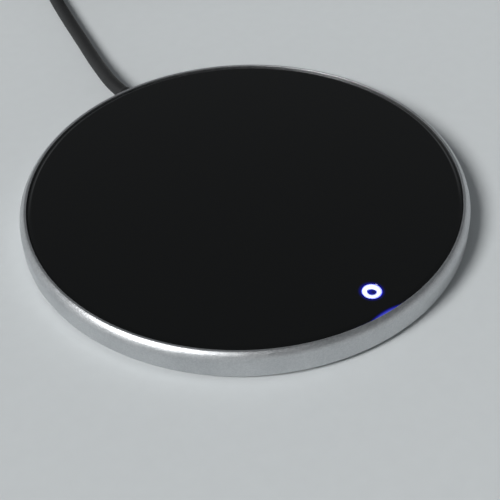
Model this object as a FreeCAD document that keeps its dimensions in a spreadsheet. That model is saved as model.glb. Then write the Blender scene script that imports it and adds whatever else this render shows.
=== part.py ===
import FreeCAD, Part
import math
import os
import Sketcher
from FreeCAD import Placement, Rotation, Vector

# Electric mug warmer, millimetres.
# +Z is up and z = 0 is the table. The button is at the front, -Y, and the cord leaves at the back, +Y.

doc = FreeCAD.newDocument("MugWarmer")

# Driving sizes: alias, value, what it is
driving_sizes = [
    ("discDiameter", 100.0, "housing, overall diameter"),
    ("rimHeight", 7.0, "top of the rim above the table"),
    ("footLift", 0.8, "gap under the housing that the feet leave"),
    ("lipWidth", 1.7, "rim, from the plate's opening to the outside"),
    ("landWidth", 0.45, "flat land on top of the rim"),
    ("shoulderRadius", 2.6, "round outer shoulder of the rim"),
    ("baseRound", 0.8, "round at the rim's lower edge"),
    ("wallThick", 2.6, "rim wall beside the base cover"),
    ("ledgeWidth", 2.1, "ledge under the plate"),
    ("ledgeThick", 1.2, "ledge, thickness"),
    ("plateThick", 1.7, "glass plate, thickness"),
    ("plateGap", 0.15, "glass edge to the rim"),
    ("plateDrop", 0.15, "glass top under the rim's land"),
    ("bevelWidth", 0.9, "ground bevel of the glass, across"),
    ("bevelDepth", 0.4, "ground bevel of the glass, down"),
    ("plateChamfer", 0.2, "chamfer at the glass's lower edge"),
    ("sealThick", 0.15, "adhesive seal under the glass"),
    ("sealInset", 0.2, "seal edge inside its ledge"),
    ("coverThick", 1.2, "floor of the base cover"),
    ("coverGap", 0.15, "base cover to the rim's bore"),
    ("upstandThick", 0.9, "upright wall of the base cover"),
    ("seatGap", 0.05, "clearance between seated faces"),
    ("footInset", 5.2, "feet and base screws in from the rim's bore"),
    ("footRadius", 4.2, "rubber foot, radius"),
    ("footSink", 0.4, "foot recess in the base cover"),
    ("footGap", 0.1, "foot to its recess, radial"),
    ("footRound", 0.35, "round at the foot's lower edge"),
    ("lugRadius", 2.8, "screw lug of the rim"),
    ("lugThick", 1.9, "screw lug, thickness"),
    ("lugBite", 0.4, "screw lug into the rim wall"),
    ("lugSkin", 0.3, "lug left above the blind screw hole"),
    ("lugNotch", 0.4, "notch in the cover's wall beside a lug"),
    ("bossRadius", 2.6, "screw boss of the base cover"),
    ("shankRadius", 0.8, "base screw shank"),
    ("headRadius", 1.6, "base screw head, radius"),
    ("headThick", 0.7, "base screw head, thickness"),
    ("screwGap", 0.06, "screw to its hole, radial"),
    ("crossReach", 0.8, "cross recess in a screw head, half its span"),
    ("crossWidth", 0.15, "cross recess, half the width of a slot"),
    ("crossDepth", 0.35, "cross recess, depth"),
    ("glueThick", 0.1, "thermal adhesive"),
    ("glueInset", 1.0, "thermal adhesive inside the spreader's edge"),
    ("spreaderInset", 0.5, "heat spreader inside the pad's edge"),
    ("spreaderThick", 0.6, "heat spreader, thickness"),
    ("filmInset", 0.5, "heater film inside the spreader's edge"),
    ("filmThick", 0.15, "heater film, thickness"),
    ("tongueHalf", 4.5, "connection tongue of the film, half width"),
    ("tongueLap", 1.8, "tongue over the board"),
    ("tongueRoot", 3.0, "tongue inside the film's edge"),
    ("trackThick", 0.05, "heater foil, thickness"),
    ("trackWidth", 1.6, "heater foil, width"),
    ("trackPitch", 2.75, "heater foil, step between rings"),
    ("trackEdge", 1.2, "heater foil, inside the film's edge"),
    ("trackGap", 2.6, "half the gap at the front of the foil rings"),
    ("stripHalf", 0.6, "return strip of the foil, half width"),
    ("padGap", 1.1, "insulation pad to the board"),
    ("sensorPlace", 8.0, "sensors beside the centre line"),
    ("sensorGap", 0.3, "sensor to its groove in the pad"),
    ("grooveDepth", 1.6, "groove in the pad, depth"),
    ("beadPlace", 9.5, "temperature sensor in front of the centre"),
    ("beadWidth", 2.4, "temperature sensor, width"),
    ("beadLength", 2.6, "temperature sensor, length"),
    ("beadHeight", 1.0, "temperature sensor, height"),
    ("fusePlace", 14.2, "thermal fuse in front of the centre"),
    ("fuseWidth", 3.2, "thermal fuse, width"),
    ("fuseLength", 6.0, "thermal fuse, length"),
    ("fuseHeight", 1.2, "thermal fuse, height"),
    ("leadRadius", 0.2, "sensor lead"),
    ("leadHalfStep", 0.8, "sensor leads from their middle line"),
    ("leadOnBoard", 1.4, "sensor lead on the board"),
    ("boardWidth", 13.3, "circuit board, across"),
    ("boardGap", 0.45, "circuit board to the cover's wall"),
    ("boardSpan", 76.0, "circuit board, degrees round the rim"),
    ("boardThick", 0.8, "circuit board, thickness"),
    ("standoffHeight", 0.9, "board above the cover's floor"),
    ("standoffRadius", 1.9, "board standoff, radius"),
    ("boardInset", 2.3, "board screw from the board's edge"),
    ("farTurn", 20.0, "outer board screws, degrees from the front"),
    ("nearTurn", 28.0, "inner board screws, degrees from the front"),
    ("boardShank", 0.7, "board screw shank"),
    ("boardHead", 1.4, "board screw head, radius"),
    ("boardHeadThick", 0.8, "board screw head, thickness"),
    ("boardScrewDeep", 1.6, "board screw below the board"),
    ("chipLength", 5.0, "control chip, length"),
    ("chipWidth", 4.0, "control chip, width"),
    ("chipHeight", 1.0, "control chip, height"),
    ("chipLift", 0.1, "control chip above the board"),
    ("pinPitch", 1.27, "between the pins of the control chip"),
    ("pinWidth", 0.4, "pin of the control chip, width"),
    ("pinReach", 0.8, "pin of the control chip, outside its case"),
    ("pinThick", 0.35, "pin or tab on the board, thickness"),
    ("caseLength", 6.4, "power transistor, length"),
    ("caseWidth", 5.2, "power transistor, width"),
    ("caseHeight", 1.1, "power transistor, height"),
    ("tabReach", 1.3, "power transistor's tab and legs, outside its case"),
    ("tabLength", 5.2, "power transistor's tab, length"),
    ("legStep", 1.8, "power transistor's legs from its middle"),
    ("legWidth", 0.7, "power transistor's legs, width"),
    ("capLength", 2.0, "capacitor, length"),
    ("capWidth", 1.2, "capacitor, width"),
    ("capHeight", 1.0, "capacitor, height"),
    ("resistorLength", 1.6, "resistor, length"),
    ("resistorWidth", 0.8, "resistor, width"),
    ("resistorHeight", 0.45, "resistor, height"),
    ("keyInset", 8.1, "button axis in from the outside of the rim"),
    ("keyRadius", 2.02, "lit ring, outer radius"),
    ("keyCore", 0.95, "lit ring, inner radius"),
    ("coreGap", 0.02, "button cap in the lit ring, radial"),
    ("keyGap", 0.08, "running clearance of the button"),
    ("keyDrop", 0.03, "lit ring under the glass top"),
    ("keyFlange", 3.0, "lit ring, flange radius"),
    ("flangeThick", 0.35, "lit ring, flange thickness"),
    ("stemRadius", 1.6, "foot of the button cap"),
    ("switchHalf", 2.0, "switch, half its side"),
    ("switchHeight", 0.5, "switch body, height"),
    ("switchFloor", 0.08, "switch body under the dome"),
    ("switchSkin", 0.08, "switch cover plate"),
    ("plungerRadius", 0.8, "switch plunger"),
    ("plungerStand", 0.35, "plunger above the switch body at rest"),
    ("domeRadius", 1.5, "snap dome, radius"),
    ("domeGap", 0.1, "snap dome to the switch body"),
    ("domeHeight", 0.28, "snap dome, height"),
    ("domeThick", 0.06, "snap dome, thickness"),
    ("shieldInner", 3.3, "light shield, inner radius"),
    ("shieldThick", 0.8, "light shield, wall"),
    ("ledHalfLength", 0.8, "ring light chip, half length"),
    ("ledWidth", 0.8, "ring light chip, width"),
    ("ledHeight", 0.55, "ring light chip, height"),
    ("ledGap", 0.15, "ring light chip beside the switch"),
    ("cordDiameter", 3.5, "cord, outer diameter"),
    ("exitHeight", 3.4, "cord axis above the table at its exit"),
    ("exitOffset", 1.9, "cord axis to the right of the centre line"),
    ("slotRadius", 2.3, "slot in the rim for the strain relief, half width"),
    ("slotGap", 0.06, "strain relief to its slot in the rim"),
    ("slotRecess", 0.9, "strain relief inside the rim's outer face"),
    ("collarReach", 2.4, "strain relief outside the rim"),
    ("collarTaper", 0.3, "strain relief, loss of radius at its mouth"),
    ("flangeHalf", 4.0, "strain relief flange, half width"),
    ("flangeDeep", 1.3, "strain relief flange, thickness"),
    ("wireRadius", 0.55, "supply wire"),
    ("wireStep", 1.5, "between the two supply wires"),
    ("wireGap", 0.35, "supply wires to the screw lugs"),
    ("wireTurn", 5.5, "inner supply wire, bend at the strain relief"),
    ("wireLap", 2.5, "supply wires over the board, degrees"),
    ("restRadius", 1.6, "wire rest on the cover"),
    ("solderRadius", 0.65, "solder joint, radius at the board"),
    ("solderHeight", 0.7, "solder joint, height"),
    ("coilGap", 0.45, "between the turns of the put-away coil"),
    ("coilInner", 13.0, "innermost turn of the coil, radius"),
    ("coilRounds", 4.0, "turns in each layer of the coil"),
    ("tieThick", 0.4, "cord tie, thickness"),
    ("tieHalf", 3.5, "cord tie, half width"),
    ("tieGap", 0.15, "cord tie to the coil"),
    ("tieRound", 1.2, "cord tie, corner"),
    ("bootLength", 9.0, "plug strain relief, length"),
    ("bootStart", 2.3, "plug strain relief, radius at the cord"),
    ("bootRadius", 3.2, "plug strain relief, radius at the grip"),
    ("bootGroove", 0.55, "plug strain relief, depth of a groove"),
    ("gripLength", 22.0, "plug grip, length"),
    ("gripWidth", 15.6, "plug grip, width"),
    ("gripHeight", 7.5, "plug grip, height"),
    ("gripRound", 2.2, "plug grip, corner radius"),
    ("gripEdge", 0.7, "plug grip, round at its ends"),
    ("shellLength", 12.0, "plug shell outside the grip"),
    ("shellSink", 3.0, "plug shell inside the grip"),
    ("shellWidth", 12.0, "plug shell, width"),
    ("shellHeight", 4.5, "plug shell, height"),
    ("shellWall", 0.3, "plug shell, sheet"),
    ("shellRound", 0.5, "plug shell, corner radius"),
    ("windowSide", 2.3, "window in the plug shell, side"),
    ("windowPlace", 6.2, "window from the shell's mouth"),
    ("windowStep", 2.55, "window from the plug's middle line"),
    ("plugTongueThick", 1.84, "plug tongue, thickness"),
    ("plugTongueBack", 0.5, "plug tongue inside the shell's mouth"),
    ("contactThick", 0.12, "plug contact, thickness"),
    ("contactHalf", 0.5, "plug contact, half width"),
    ("contactLength", 8.0, "plug contact, length"),
    ("contactBack", 1.0, "plug contact from the tongue's end"),
    ("contactNear", 1.0, "inner plug contacts from the middle line"),
    ("contactFar", 3.5, "outer plug contacts from the middle line"),
]

# Places worked out from the driving sizes
worked_out_places = [
    ("discRadius", "discDiameter / 2"),
    ("openingRadius", "discRadius - lipWidth"),
    ("boreRadius", "discRadius - wallThick"),
    ("ledgeRadius", "openingRadius - ledgeWidth"),
    ("shoulderInset", "shoulderRadius - lipWidth + landWidth"),
    ("shoulderDrop", "sqrt(shoulderRadius ^ 2 - shoulderInset ^ 2)"),
    ("plateRadius", "openingRadius - plateGap"),
    ("plateTop", "rimHeight - plateDrop"),
    ("plateBottom", "plateTop - plateThick"),
    ("ledgeTop", "plateBottom - sealThick"),
    ("ledgeBottom", "ledgeTop - ledgeThick"),
    ("coverRadius", "boreRadius - coverGap"),
    ("upstandInner", "coverRadius - upstandThick"),
    ("upstandTop", "ledgeBottom - 4 * seatGap"),
    ("floorTop", "footLift + coverThick"),
    ("recessTop", "footLift + footSink"),
    ("lugTop", "ledgeTop - 2 * seatGap"),
    ("lugBottom", "lugTop - lugThick"),
    ("bossTop", "lugBottom - seatGap"),
    ("headTop", "recessTop + headThick"),
    ("footPlace", "boreRadius - footInset"),
    ("shankTop", "lugTop - lugSkin - 4 * seatGap"),
    ("spreaderTop", "plateBottom - glueThick"),
    ("spreaderBottom", "spreaderTop - spreaderThick"),
    ("filmBottom", "spreaderBottom - filmThick"),
    ("trackBottom", "filmBottom - trackThick"),
    ("padTop", "trackBottom - seatGap"),
    ("boardBottom", "floorTop + standoffHeight"),
    ("boardTop", "boardBottom + boardThick"),
    ("boardOuter", "upstandInner - boardGap"),
    ("boardInner", "boardOuter - boardWidth"),
    ("padRadius", "boardInner - padGap"),
    ("spreaderRadius", "padRadius - spreaderInset"),
    ("glueRadius", "spreaderRadius - glueInset"),
    ("filmRadius", "spreaderRadius - filmInset"),
    ("tongueReach", "boardInner + tongueLap"),
    ("farPlace", "boardOuter - boardInset"),
    ("nearPlace", "boardInner + boardInset"),
    ("screwEnd", "boardBottom - boardScrewDeep"),
    ("keyPlace", "discRadius - keyInset"),
    ("holeRadius", "keyRadius + keyGap"),
    ("keyTop", "plateTop - keyDrop"),
    ("flangeTop", "plateBottom - seatGap"),
    ("flangeBottom", "flangeTop - flangeThick"),
    ("switchTop", "boardTop + switchHeight"),
    ("domeBottom", "boardTop + switchFloor"),
    ("domeTop", "domeBottom + domeHeight"),
    ("domeCurve", "(domeRadius ^ 2 + domeHeight ^ 2) / 2 / domeHeight"),
    ("domeMouth", "domeRadius - 4 * domeThick"),
    ("domeRise", "domeHeight - domeThick"),
    ("domeInnerCurve", "(domeMouth ^ 2 + domeRise ^ 2) / 2 / domeRise"),
    ("plungerTop", "switchTop + plungerStand"),
    ("ledPlace", "switchHalf + ledGap + ledWidth / 2"),
    ("cordRadius", "cordDiameter / 2"),
    ("reliefRadius", "slotRadius - slotGap"),
    ("reliefFace", "discRadius - slotRecess"),
    ("exitFace", "discRadius + collarReach"),
    ("neckHalf", "sqrt(reliefRadius ^ 2 - (lugTop - exitHeight) ^ 2)"),
    ("flangeFront", "sqrt((ledgeRadius - seatGap) ^ 2 - (exitOffset + flangeHalf) ^ 2)"),
    ("flangeBack", "flangeFront - flangeDeep"),
    ("wirePlace", "footPlace - lugRadius - wireGap - wireRadius - wireStep"),
    ("wireEnd", "270 - boardSpan / 2 + wireLap"),
    ("wireHeight", "boardTop + wireRadius"),
    ("coilPitch", "cordDiameter + coilGap"),
    ("coilOuter", "coilInner + round(coilRounds) * coilPitch"),
    ("coilLow", "cordRadius + tieThick + tieGap"),
    ("coilHigh", "coilLow + coilPitch"),
    ("tieInnerTurn", "coilInner + coilPitch / 2"),
    ("tieSag", "tieInnerTurn - sqrt(tieInnerTurn ^ 2 - (tieHalf + coilPitch / 2) ^ 2)"),
    ("tieNear", "cordDiameter + tieInnerTurn - tieSag - cordRadius - tieGap"),
    ("tieFar", "cordDiameter + coilOuter - coilPitch / 2 + cordRadius + tieGap"),
    ("plugHeight", "gripHeight / 2"),
    ("mouth", "bootLength + gripLength + shellLength"),
]

sheet = doc.addObject("Spreadsheet::Sheet", "Sizes")
for row, (alias, number, note) in enumerate(driving_sizes, 1):
    sheet.set("A%d" % row, note)
    sheet.set("B%d" % row, str(number))
    sheet.setAlias("B%d" % row, alias)
size_names = {alias for alias, _, _ in driving_sizes}
place_names = {alias for alias, _ in worked_out_places}


def linked(formula, places_from="Places."):
    """The formula with each name tied to the sheet that holds it."""
    pieces, word = [], ""
    for sign in formula + " ":
        if sign.isalnum():
            word += sign
            continue
        if word in size_names:
            word = "Sizes." + word
        elif word in place_names:
            word = places_from + word
        pieces.append(word + sign)
        word = ""
    return "".join(pieces).strip()


places = doc.addObject("Spreadsheet::Sheet", "Places")
for row, (alias, formula) in enumerate(worked_out_places, 1):
    places.set("A%d" % row, alias)
    places.set("B%d" % row, "=" + linked(formula, ""))
    places.setAlias("B%d" % row, alias)
doc.recompute()


def size(formula):
    """The present value of a formula, as a plain number."""
    found = sheet.evalExpression(linked(formula))
    return float(getattr(found, "Value", found))


def bind(thing, **formulas):
    """Tie properties to formulas; Base_x stands for Placement.Base.x."""
    for name, formula in formulas.items():
        if name.startswith("Base_"):
            name = "Placement.Base." + name[-1]
        thing.setExpression(name, linked(formula))


# Sketches, features and bodies


def body_named(name):
    body = doc.addObject("PartDesign::Body", name)
    body.Label = name
    return body


def origin_part(body, role):
    return next(part for part in body.Origin.OriginFeatures if part.Role == role)


def sketch_on(body, name, plane, lift="0", turn=0.0):
    """A sketch on a plane of the body, lifted along its normal and turned in it."""
    sketch = body.newObject("Sketcher::SketchObject", body.Name + "_" + name)
    sketch.AttachmentSupport = [(origin_part(body, plane), "")]
    sketch.MapMode = "FlatFace"
    sketch.AttachmentOffset = Placement(Vector(0, 0, size(lift)), Rotation(Vector(0, 0, 1), turn))
    if lift != "0":
        sketch.setExpression("AttachmentOffset.Base.z", linked(lift))
    return sketch


def tie_point(sketch, edge, end, x, y):
    """Hold an edge's end at two formulas from the sketch's origin."""
    for kind, axis, formula in (("DistanceX", -2, x), ("DistanceY", -1, y)):
        if formula == "0":
            sketch.addConstraint(Sketcher.Constraint("PointOnObject", edge, end, axis))
            continue
        place = sketch.addConstraint(Sketcher.Constraint(kind, -1, 1, edge, end, size(formula)))
        sketch.setExpression("Constraints[%d]" % place, linked(formula))


def tie_radius(sketch, edge, formula):
    place = sketch.addConstraint(Sketcher.Constraint("Radius", edge, size(formula)))
    sketch.setExpression("Constraints[%d]" % place, linked(formula))


def arc_between(start, end, radius, clockwise):
    chord = end - start
    across = Vector(-chord.y, chord.x, 0).normalize()
    reach = math.sqrt(max(radius ** 2 - (chord.Length / 2) ** 2, 0.0))
    centre = (start + end) * 0.5 + across * (-reach if clockwise else reach)
    first, last = (end, start) if clockwise else (start, end)
    low = math.atan2(first.y - centre.y, first.x - centre.x)
    high = math.atan2(last.y - centre.y, last.x - centre.x)
    if high <= low:
        high += 2 * math.pi
    return Part.ArcOfCircle(Part.Circle(centre, Vector(0, 0, 1), radius), low, high)


def outline(sketch, corners):
    """A closed outline. A corner is (x, y), or (x, y, radius) where an arc of less than half
    a circle leads on from it. The radius has a minus sign where the arc turns clockwise."""
    points = [Vector(size(corner[0]), size(corner[1]), 0) for corner in corners]
    edges, ends = [], []
    for corner, start, end in zip(corners, points, points[1:] + points[:1]):
        clockwise = len(corner) == 3 and corner[2].startswith("-")
        ends.append((2, 1) if clockwise else (1, 2))
        if len(corner) == 2:
            edges.append(Part.LineSegment(start, end))
        else:
            edges.append(arc_between(start, end, size(corner[2].lstrip("-")), clockwise))
    placed = sketch.addGeometry(edges, False)
    for i, corner in enumerate(corners):
        after = (i + 1) % len(corners)
        sketch.addConstraint(
            Sketcher.Constraint("Coincident", placed[i], ends[i][1], placed[after], ends[after][0])
        )
        tie_point(sketch, placed[i], ends[i][0], corner[0], corner[1])
        if len(corner) == 3:
            tie_radius(sketch, placed[i], corner[2].lstrip("-"))
    return sketch


def circles(sketch, rounds):
    """Full circles, each (x, y, radius)."""
    for x, y, radius in rounds:
        circle = Part.Circle(Vector(size(x), size(y), 0), Vector(0, 0, 1), size(radius))
        edge = sketch.addGeometry(circle, False)
        tie_point(sketch, edge, 3, x, y)
        tie_radius(sketch, edge, radius)
    return sketch


def rectangle(left, low, right, high):
    return [(left, low), (right, low), (right, high), (left, high)]


def centred(half_width, half_height):
    return rectangle("-(%s)" % half_width, "-(%s)" % half_height, half_width, half_height)


def rounded(left, low, right, high, radius):
    """A rectangle with round corners."""
    inner_left, inner_right = "%s + %s" % (left, radius), "%s - %s" % (right, radius)
    inner_low, inner_high = "%s + %s" % (low, radius), "%s - %s" % (high, radius)
    return [
        (inner_left, low),
        (inner_right, low, radius),
        (right, inner_low),
        (right, inner_high, radius),
        (inner_right, high),
        (inner_left, high, radius),
        (left, inner_high),
        (left, inner_low, radius),
    ]


def revolve(body, sketch, axis="V_Axis"):
    feature = body.newObject("PartDesign::Revolution", sketch.Name + "_turned")
    feature.Profile = sketch
    feature.ReferenceAxis = (sketch, [axis])
    feature.Angle = 360
    return feature


def pad(body, sketch, length):
    """Material added along the sketch's normal."""
    feature = body.newObject("PartDesign::Pad", sketch.Name + "_pad")
    feature.Profile = sketch
    bind(feature, Length=length)
    return feature


def pocket(body, sketch, depth, along_normal=True):
    feature = body.newObject("PartDesign::Pocket", sketch.Name + "_pocket")
    feature.Profile = sketch
    feature.Reversed = along_normal
    bind(feature, Length=depth)
    return feature


def around(body, feature, count):
    """Copies of a feature spaced evenly about the body's upright axis."""
    pattern = body.newObject("PartDesign::PolarPattern", feature.Name + "_around")
    pattern.Originals = [feature]
    pattern.Axis = (origin_part(body, "Z_Axis"), [""])
    pattern.Angle = 360
    pattern.Occurrences = count
    body.Tip = pattern
    return pattern


def spun(name, corners, x="0", y="0"):
    """A body of revolution about an upright axis at x, y. Corners are (radius, height)."""
    body = body_named(name)
    revolve(body, outline(sketch_on(body, "profile", "XZ_Plane"), corners))
    bind(body, Base_x=x, Base_y=y)
    return body


def slab(name, corners, bottom, height, x="0", y="0", turn=0.0):
    """A flat body standing at bottom, turned about its own middle and moved to x, y."""
    body = body_named(name)
    pad(body, outline(sketch_on(body, "outline", "XY_Plane", bottom), corners), height)
    body.Placement = Placement(Vector(0, 0, 0), Rotation(Vector(0, 0, 1), turn))
    bind(body, Base_x=x, Base_y=y)
    return body


def joined(name, members, kind="Part::MultiFuse"):
    """One sub-part from several solids: fused, or a group where kind is Part::Compound."""
    whole = doc.addObject(kind, name)
    whole.Label = name
    if kind == "Part::Compound":
        whole.Links = members
    else:
        whole.Shapes = members
    return whole


def polar(radius, degrees):
    """Formulas for x and y at a radius and a direction."""
    return "(%s) * cos(%s)" % (radius, degrees), "(%s) * sin(%s)" % (radius, degrees)


def cross_recess(body, at, depth_up):
    """Cross recess in a screw head, cut up or down from a height."""
    reach, half = "crossReach", "crossWidth"
    sketch = sketch_on(body, "cross", "XY_Plane", at)
    outline(
        sketch,
        [
            ("-" + half, "-" + reach), (half, "-" + reach), (half, "-" + half),
            (reach, "-" + half), (reach, half), (half, half),
            (half, reach), ("-" + half, reach), ("-" + half, half),
            ("-" + reach, half), ("-" + reach, "-" + half), ("-" + half, "-" + half),
        ],
    )
    pocket(body, sketch, "crossDepth", depth_up)


corner_turns = [45, 135, 225, 315]
front = -90
board_screw_spots = [
    polar("farPlace", "%d - farTurn" % front),
    polar("farPlace", "%d + farTurn" % front),
    polar("nearPlace", "%d - nearTurn" % front),
    polar("nearPlace", "%d + nearTurn" % front),
]
nodes = {}

# Housing ring: the aluminium rim, with a ledge for the plate and four lugs for the base screws
housing = body_named("housing_ring")
rim_profile = outline(
    sketch_on(housing, "profile", "XZ_Plane"),
    [
        ("boreRadius", "footLift"),
        ("discRadius - baseRound", "footLift", "baseRound"),
        ("discRadius", "footLift + baseRound"),
        ("discRadius", "rimHeight - shoulderDrop", "shoulderRadius"),
        ("openingRadius + landWidth", "rimHeight"),
        ("openingRadius", "rimHeight"),
        ("openingRadius", "ledgeTop"),
        ("ledgeRadius", "ledgeTop"),
        ("ledgeRadius", "ledgeBottom"),
        ("boreRadius", "ledgeBottom"),
    ],
)
revolve(housing, rim_profile)
lug_shape = outline(
    sketch_on(housing, "lug", "XY_Plane", "lugBottom", corner_turns[0]),
    [
        ("footPlace", "-lugRadius"),
        ("boreRadius + lugBite", "-lugRadius"),
        ("boreRadius + lugBite", "lugRadius"),
        ("footPlace", "lugRadius", "lugRadius"),
        ("footPlace - lugRadius", "0", "lugRadius"),
    ],
)
around(housing, pad(housing, lug_shape, "lugThick"), len(corner_turns))
lug_hole = circles(
    sketch_on(housing, "lug_hole", "XY_Plane", "lugBottom", corner_turns[0]),
    [("footPlace", "0", "shankRadius + screwGap")],
)
around(housing, pocket(housing, lug_hole, "lugThick - lugSkin"), len(corner_turns))
cord_slot = outline(
    sketch_on(housing, "cord_slot", "XZ_Plane"),
    [
        ("exitOffset - slotRadius", "footLift - slotRadius"),
        ("exitOffset + slotRadius", "footLift - slotRadius"),
        ("exitOffset + slotRadius", "exitHeight", "slotRadius"),
        ("exitOffset", "exitHeight + slotRadius", "slotRadius"),
        ("exitOffset - slotRadius", "exitHeight"),
    ],
)
pocket(housing, cord_slot, "discRadius + slotRadius", along_normal=False)
nodes["housing_ring"] = housing

# Glass plate and its seal
plate = spun(
    "glass_plate",
    [
        ("0", "plateBottom"),
        ("plateRadius - plateChamfer", "plateBottom"),
        ("plateRadius", "plateBottom + plateChamfer"),
        ("plateRadius", "plateTop - bevelDepth"),
        ("plateRadius - bevelWidth", "plateTop"),
        ("0", "plateTop"),
    ],
)
key_hole = circles(
    sketch_on(plate, "key_hole", "XY_Plane", "plateBottom"), [("0", "-keyPlace", "holeRadius")]
)
pocket(plate, key_hole, "plateThick")
nodes["glass_plate"] = plate
nodes["plate_seal"] = spun(
    "plate_seal",
    rectangle("ledgeRadius + sealInset", "ledgeTop", "openingRadius - sealInset", "plateBottom"),
)

# Heater: adhesive, spreader, film with its tongue, etched foil, and the pad that presses it up
nodes["thermal_adhesive"] = spun(
    "thermal_adhesive", rectangle("0", "spreaderTop", "glueRadius", "plateBottom")
)
nodes["heat_spreader"] = spun(
    "heat_spreader", rectangle("0", "spreaderBottom", "spreaderRadius", "spreaderTop")
)
film = spun("heater_film", rectangle("0", "filmBottom", "filmRadius", "spreaderBottom"))
tongue = outline(
    sketch_on(film, "tongue", "XY_Plane", "filmBottom"),
    rectangle("-tongueHalf", "-tongueReach", "tongueHalf", "tongueRoot - filmRadius"),
)
pad(film, tongue, "filmThick")
nodes["heater_film"] = film


def foil_shape():
    """One foil strip: rings open at the front, joined in turn at the left and the right, with a
    return strip down the gap to the tongue."""
    low, thick, width = size("trackBottom"), size("trackThick"), size("trackWidth")
    gap, strip = size("trackGap"), size("stripHalf")
    end = -size("tongueReach") + size("seatGap")

    def plate_between(x0, y0, x1, y1):
        return Part.makeBox(x1 - x0, y1 - y0, thick, Vector(x0, y0, low))

    def ring(outer):
        disc = Part.makeCylinder(outer, thick, Vector(0, 0, low))
        disc = disc.cut(Part.makeCylinder(outer - width, thick, Vector(0, 0, low)))
        return disc.cut(plate_between(-gap, -2 * outer, gap, 0))

    outers = []
    outer = size("filmRadius - trackEdge")
    while outer - width > 2 * gap:
        outers.append(outer)
        outer -= size("trackPitch")
    pieces = [ring(outer) for outer in outers]

    def ring_end(outer):
        return -math.sqrt(outer ** 2 - (gap + width) ** 2)

    for i, (outer, inner) in enumerate(zip(outers, outers[1:])):
        side = -1 if i % 2 == 0 else 1
        left = min(side * gap, side * (gap + width))
        pieces.append(plate_between(left, ring_end(outer), left + width, ring_end(inner - width)))
    last_side = -1 if len(outers) % 2 else 1
    inmost = outers[-1] - width
    link = sorted((0.0, last_side * (gap + width / 2)))
    pieces.append(plate_between(link[0], -inmost - width, link[1], -inmost + width / 2))
    pieces.append(plate_between(-strip, end, strip, -inmost + width / 2))
    pieces.append(plate_between(gap, end, gap + width, ring_end(outers[0] - width)))
    return pieces[0].multiFuse(pieces[1:]).removeSplitter()


foil = doc.addObject("Part::Feature", "heater_track")
foil.Shape = foil_shape()
nodes["heater_track"] = foil
insulation = spun("insulation_pad", rectangle("0", "floorTop", "padRadius", "padTop"))
grooves = sketch_on(insulation, "grooves", "XY_Plane", "padTop")
sensors = [
    ("thermistor", "-sensorPlace", "beadWidth", "beadLength", "beadHeight", "-beadPlace"),
    ("thermal_fuse", "sensorPlace", "fuseWidth", "fuseLength", "fuseHeight", "-fusePlace"),
]
for name, x, width, length, height, y in sensors:
    outline(
        grooves,
        rectangle(
            "%s - %s / 2 - sensorGap" % (x, width),
            "-padRadius - sensorGap",
            "%s + %s / 2 + sensorGap" % (x, width),
            "%s + %s / 2 + sensorGap" % (y, length),
        ),
    )
pocket(insulation, grooves, "grooveDepth", along_normal=False)
nodes["insulation_pad"] = insulation

# Temperature sensor and thermal fuse, each held against the heater with two leads to the board
lead_ends = []
for name, x, width, length, height, y in sensors:
    case = centred(width + " / 2", length + " / 2")
    members = [slab(name + "_case", case, "trackBottom - " + height, height, x, y)]
    for side in ("-", "+"):
        lead = doc.addObject("Part::Cylinder", name + "_lead")
        lead_x = "%s %s leadHalfStep" % (x, side)
        lead_end = "-sqrt(boardInner ^ 2 - sensorPlace ^ 2) - leadOnBoard"
        lead.Placement = Placement(Vector(0, 0, 0), Rotation(Vector(1, 0, 0), 90))
        bind(
            lead,
            Radius="leadRadius",
            Height="%s - (%s)" % (y, lead_end),
            Base_x=lead_x,
            Base_y=y,
            Base_z="boardTop + leadRadius",
        )
        members.append(lead)
        lead_ends.append((lead_x, "%s - solderRadius" % lead_end))
    nodes[name] = joined(name, members)

# Circuit board, standing on the cover
board = body_named("circuit_board")
board_left, board_right = "%d - boardSpan / 2" % front, "%d + boardSpan / 2" % front
board_shape = outline(
    sketch_on(board, "outline", "XY_Plane", "boardBottom"),
    [
        polar("boardOuter", board_left) + ("boardOuter",),
        polar("boardOuter", board_right),
        polar("boardInner", board_right) + ("-boardInner",),
        polar("boardInner", board_left),
    ],
)
pad(board, board_shape, "boardThick")
board_holes = circles(
    sketch_on(board, "screw_holes", "XY_Plane", "boardBottom"),
    [(x, y, "boardShank + screwGap") for x, y in board_screw_spots],
)
pocket(board, board_holes, "boardThick")
nodes["circuit_board"] = board


def on_board(name, corners, bottom, height, spot):
    """A small piece on the board. Its spot is how far out from the board's inner edge it is and
    how many degrees round from the front, and its own y points to the centre."""
    out, degrees = spot
    x, y = polar("boardInner + %s" % out, "%d + %s" % (front, degrees))
    return slab(name, corners, bottom, height, x, y, degrees)


def board_blocks(name, length, width, height, spots):
    """A group of like blocks on the board."""
    corners = centred(length + " / 2", width + " / 2")
    blocks = [on_board(name[:-1], corners, "boardTop", height, spot) for spot in spots]
    return joined(name, blocks, "Part::Compound")


chip_spot = (6.3, -15.0)
chip_pins = 4
chip_outline = centred("chipLength / 2", "chipWidth / 2")
chip = [on_board("chip_case", chip_outline, "boardTop + chipLift", "chipHeight", chip_spot)]
for i in range(chip_pins):
    pin_x = "pinPitch * %s" % (i - (chip_pins - 1) / 2)
    pin = rectangle(
        pin_x + " - pinWidth / 2",
        "-chipWidth / 2 - pinReach",
        pin_x + " + pinWidth / 2",
        "chipWidth / 2 + pinReach",
    )
    chip.append(on_board("chip_pin", pin, "boardTop", "pinThick", chip_spot))
nodes["control_chip"] = joined("control_chip", chip)

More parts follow.
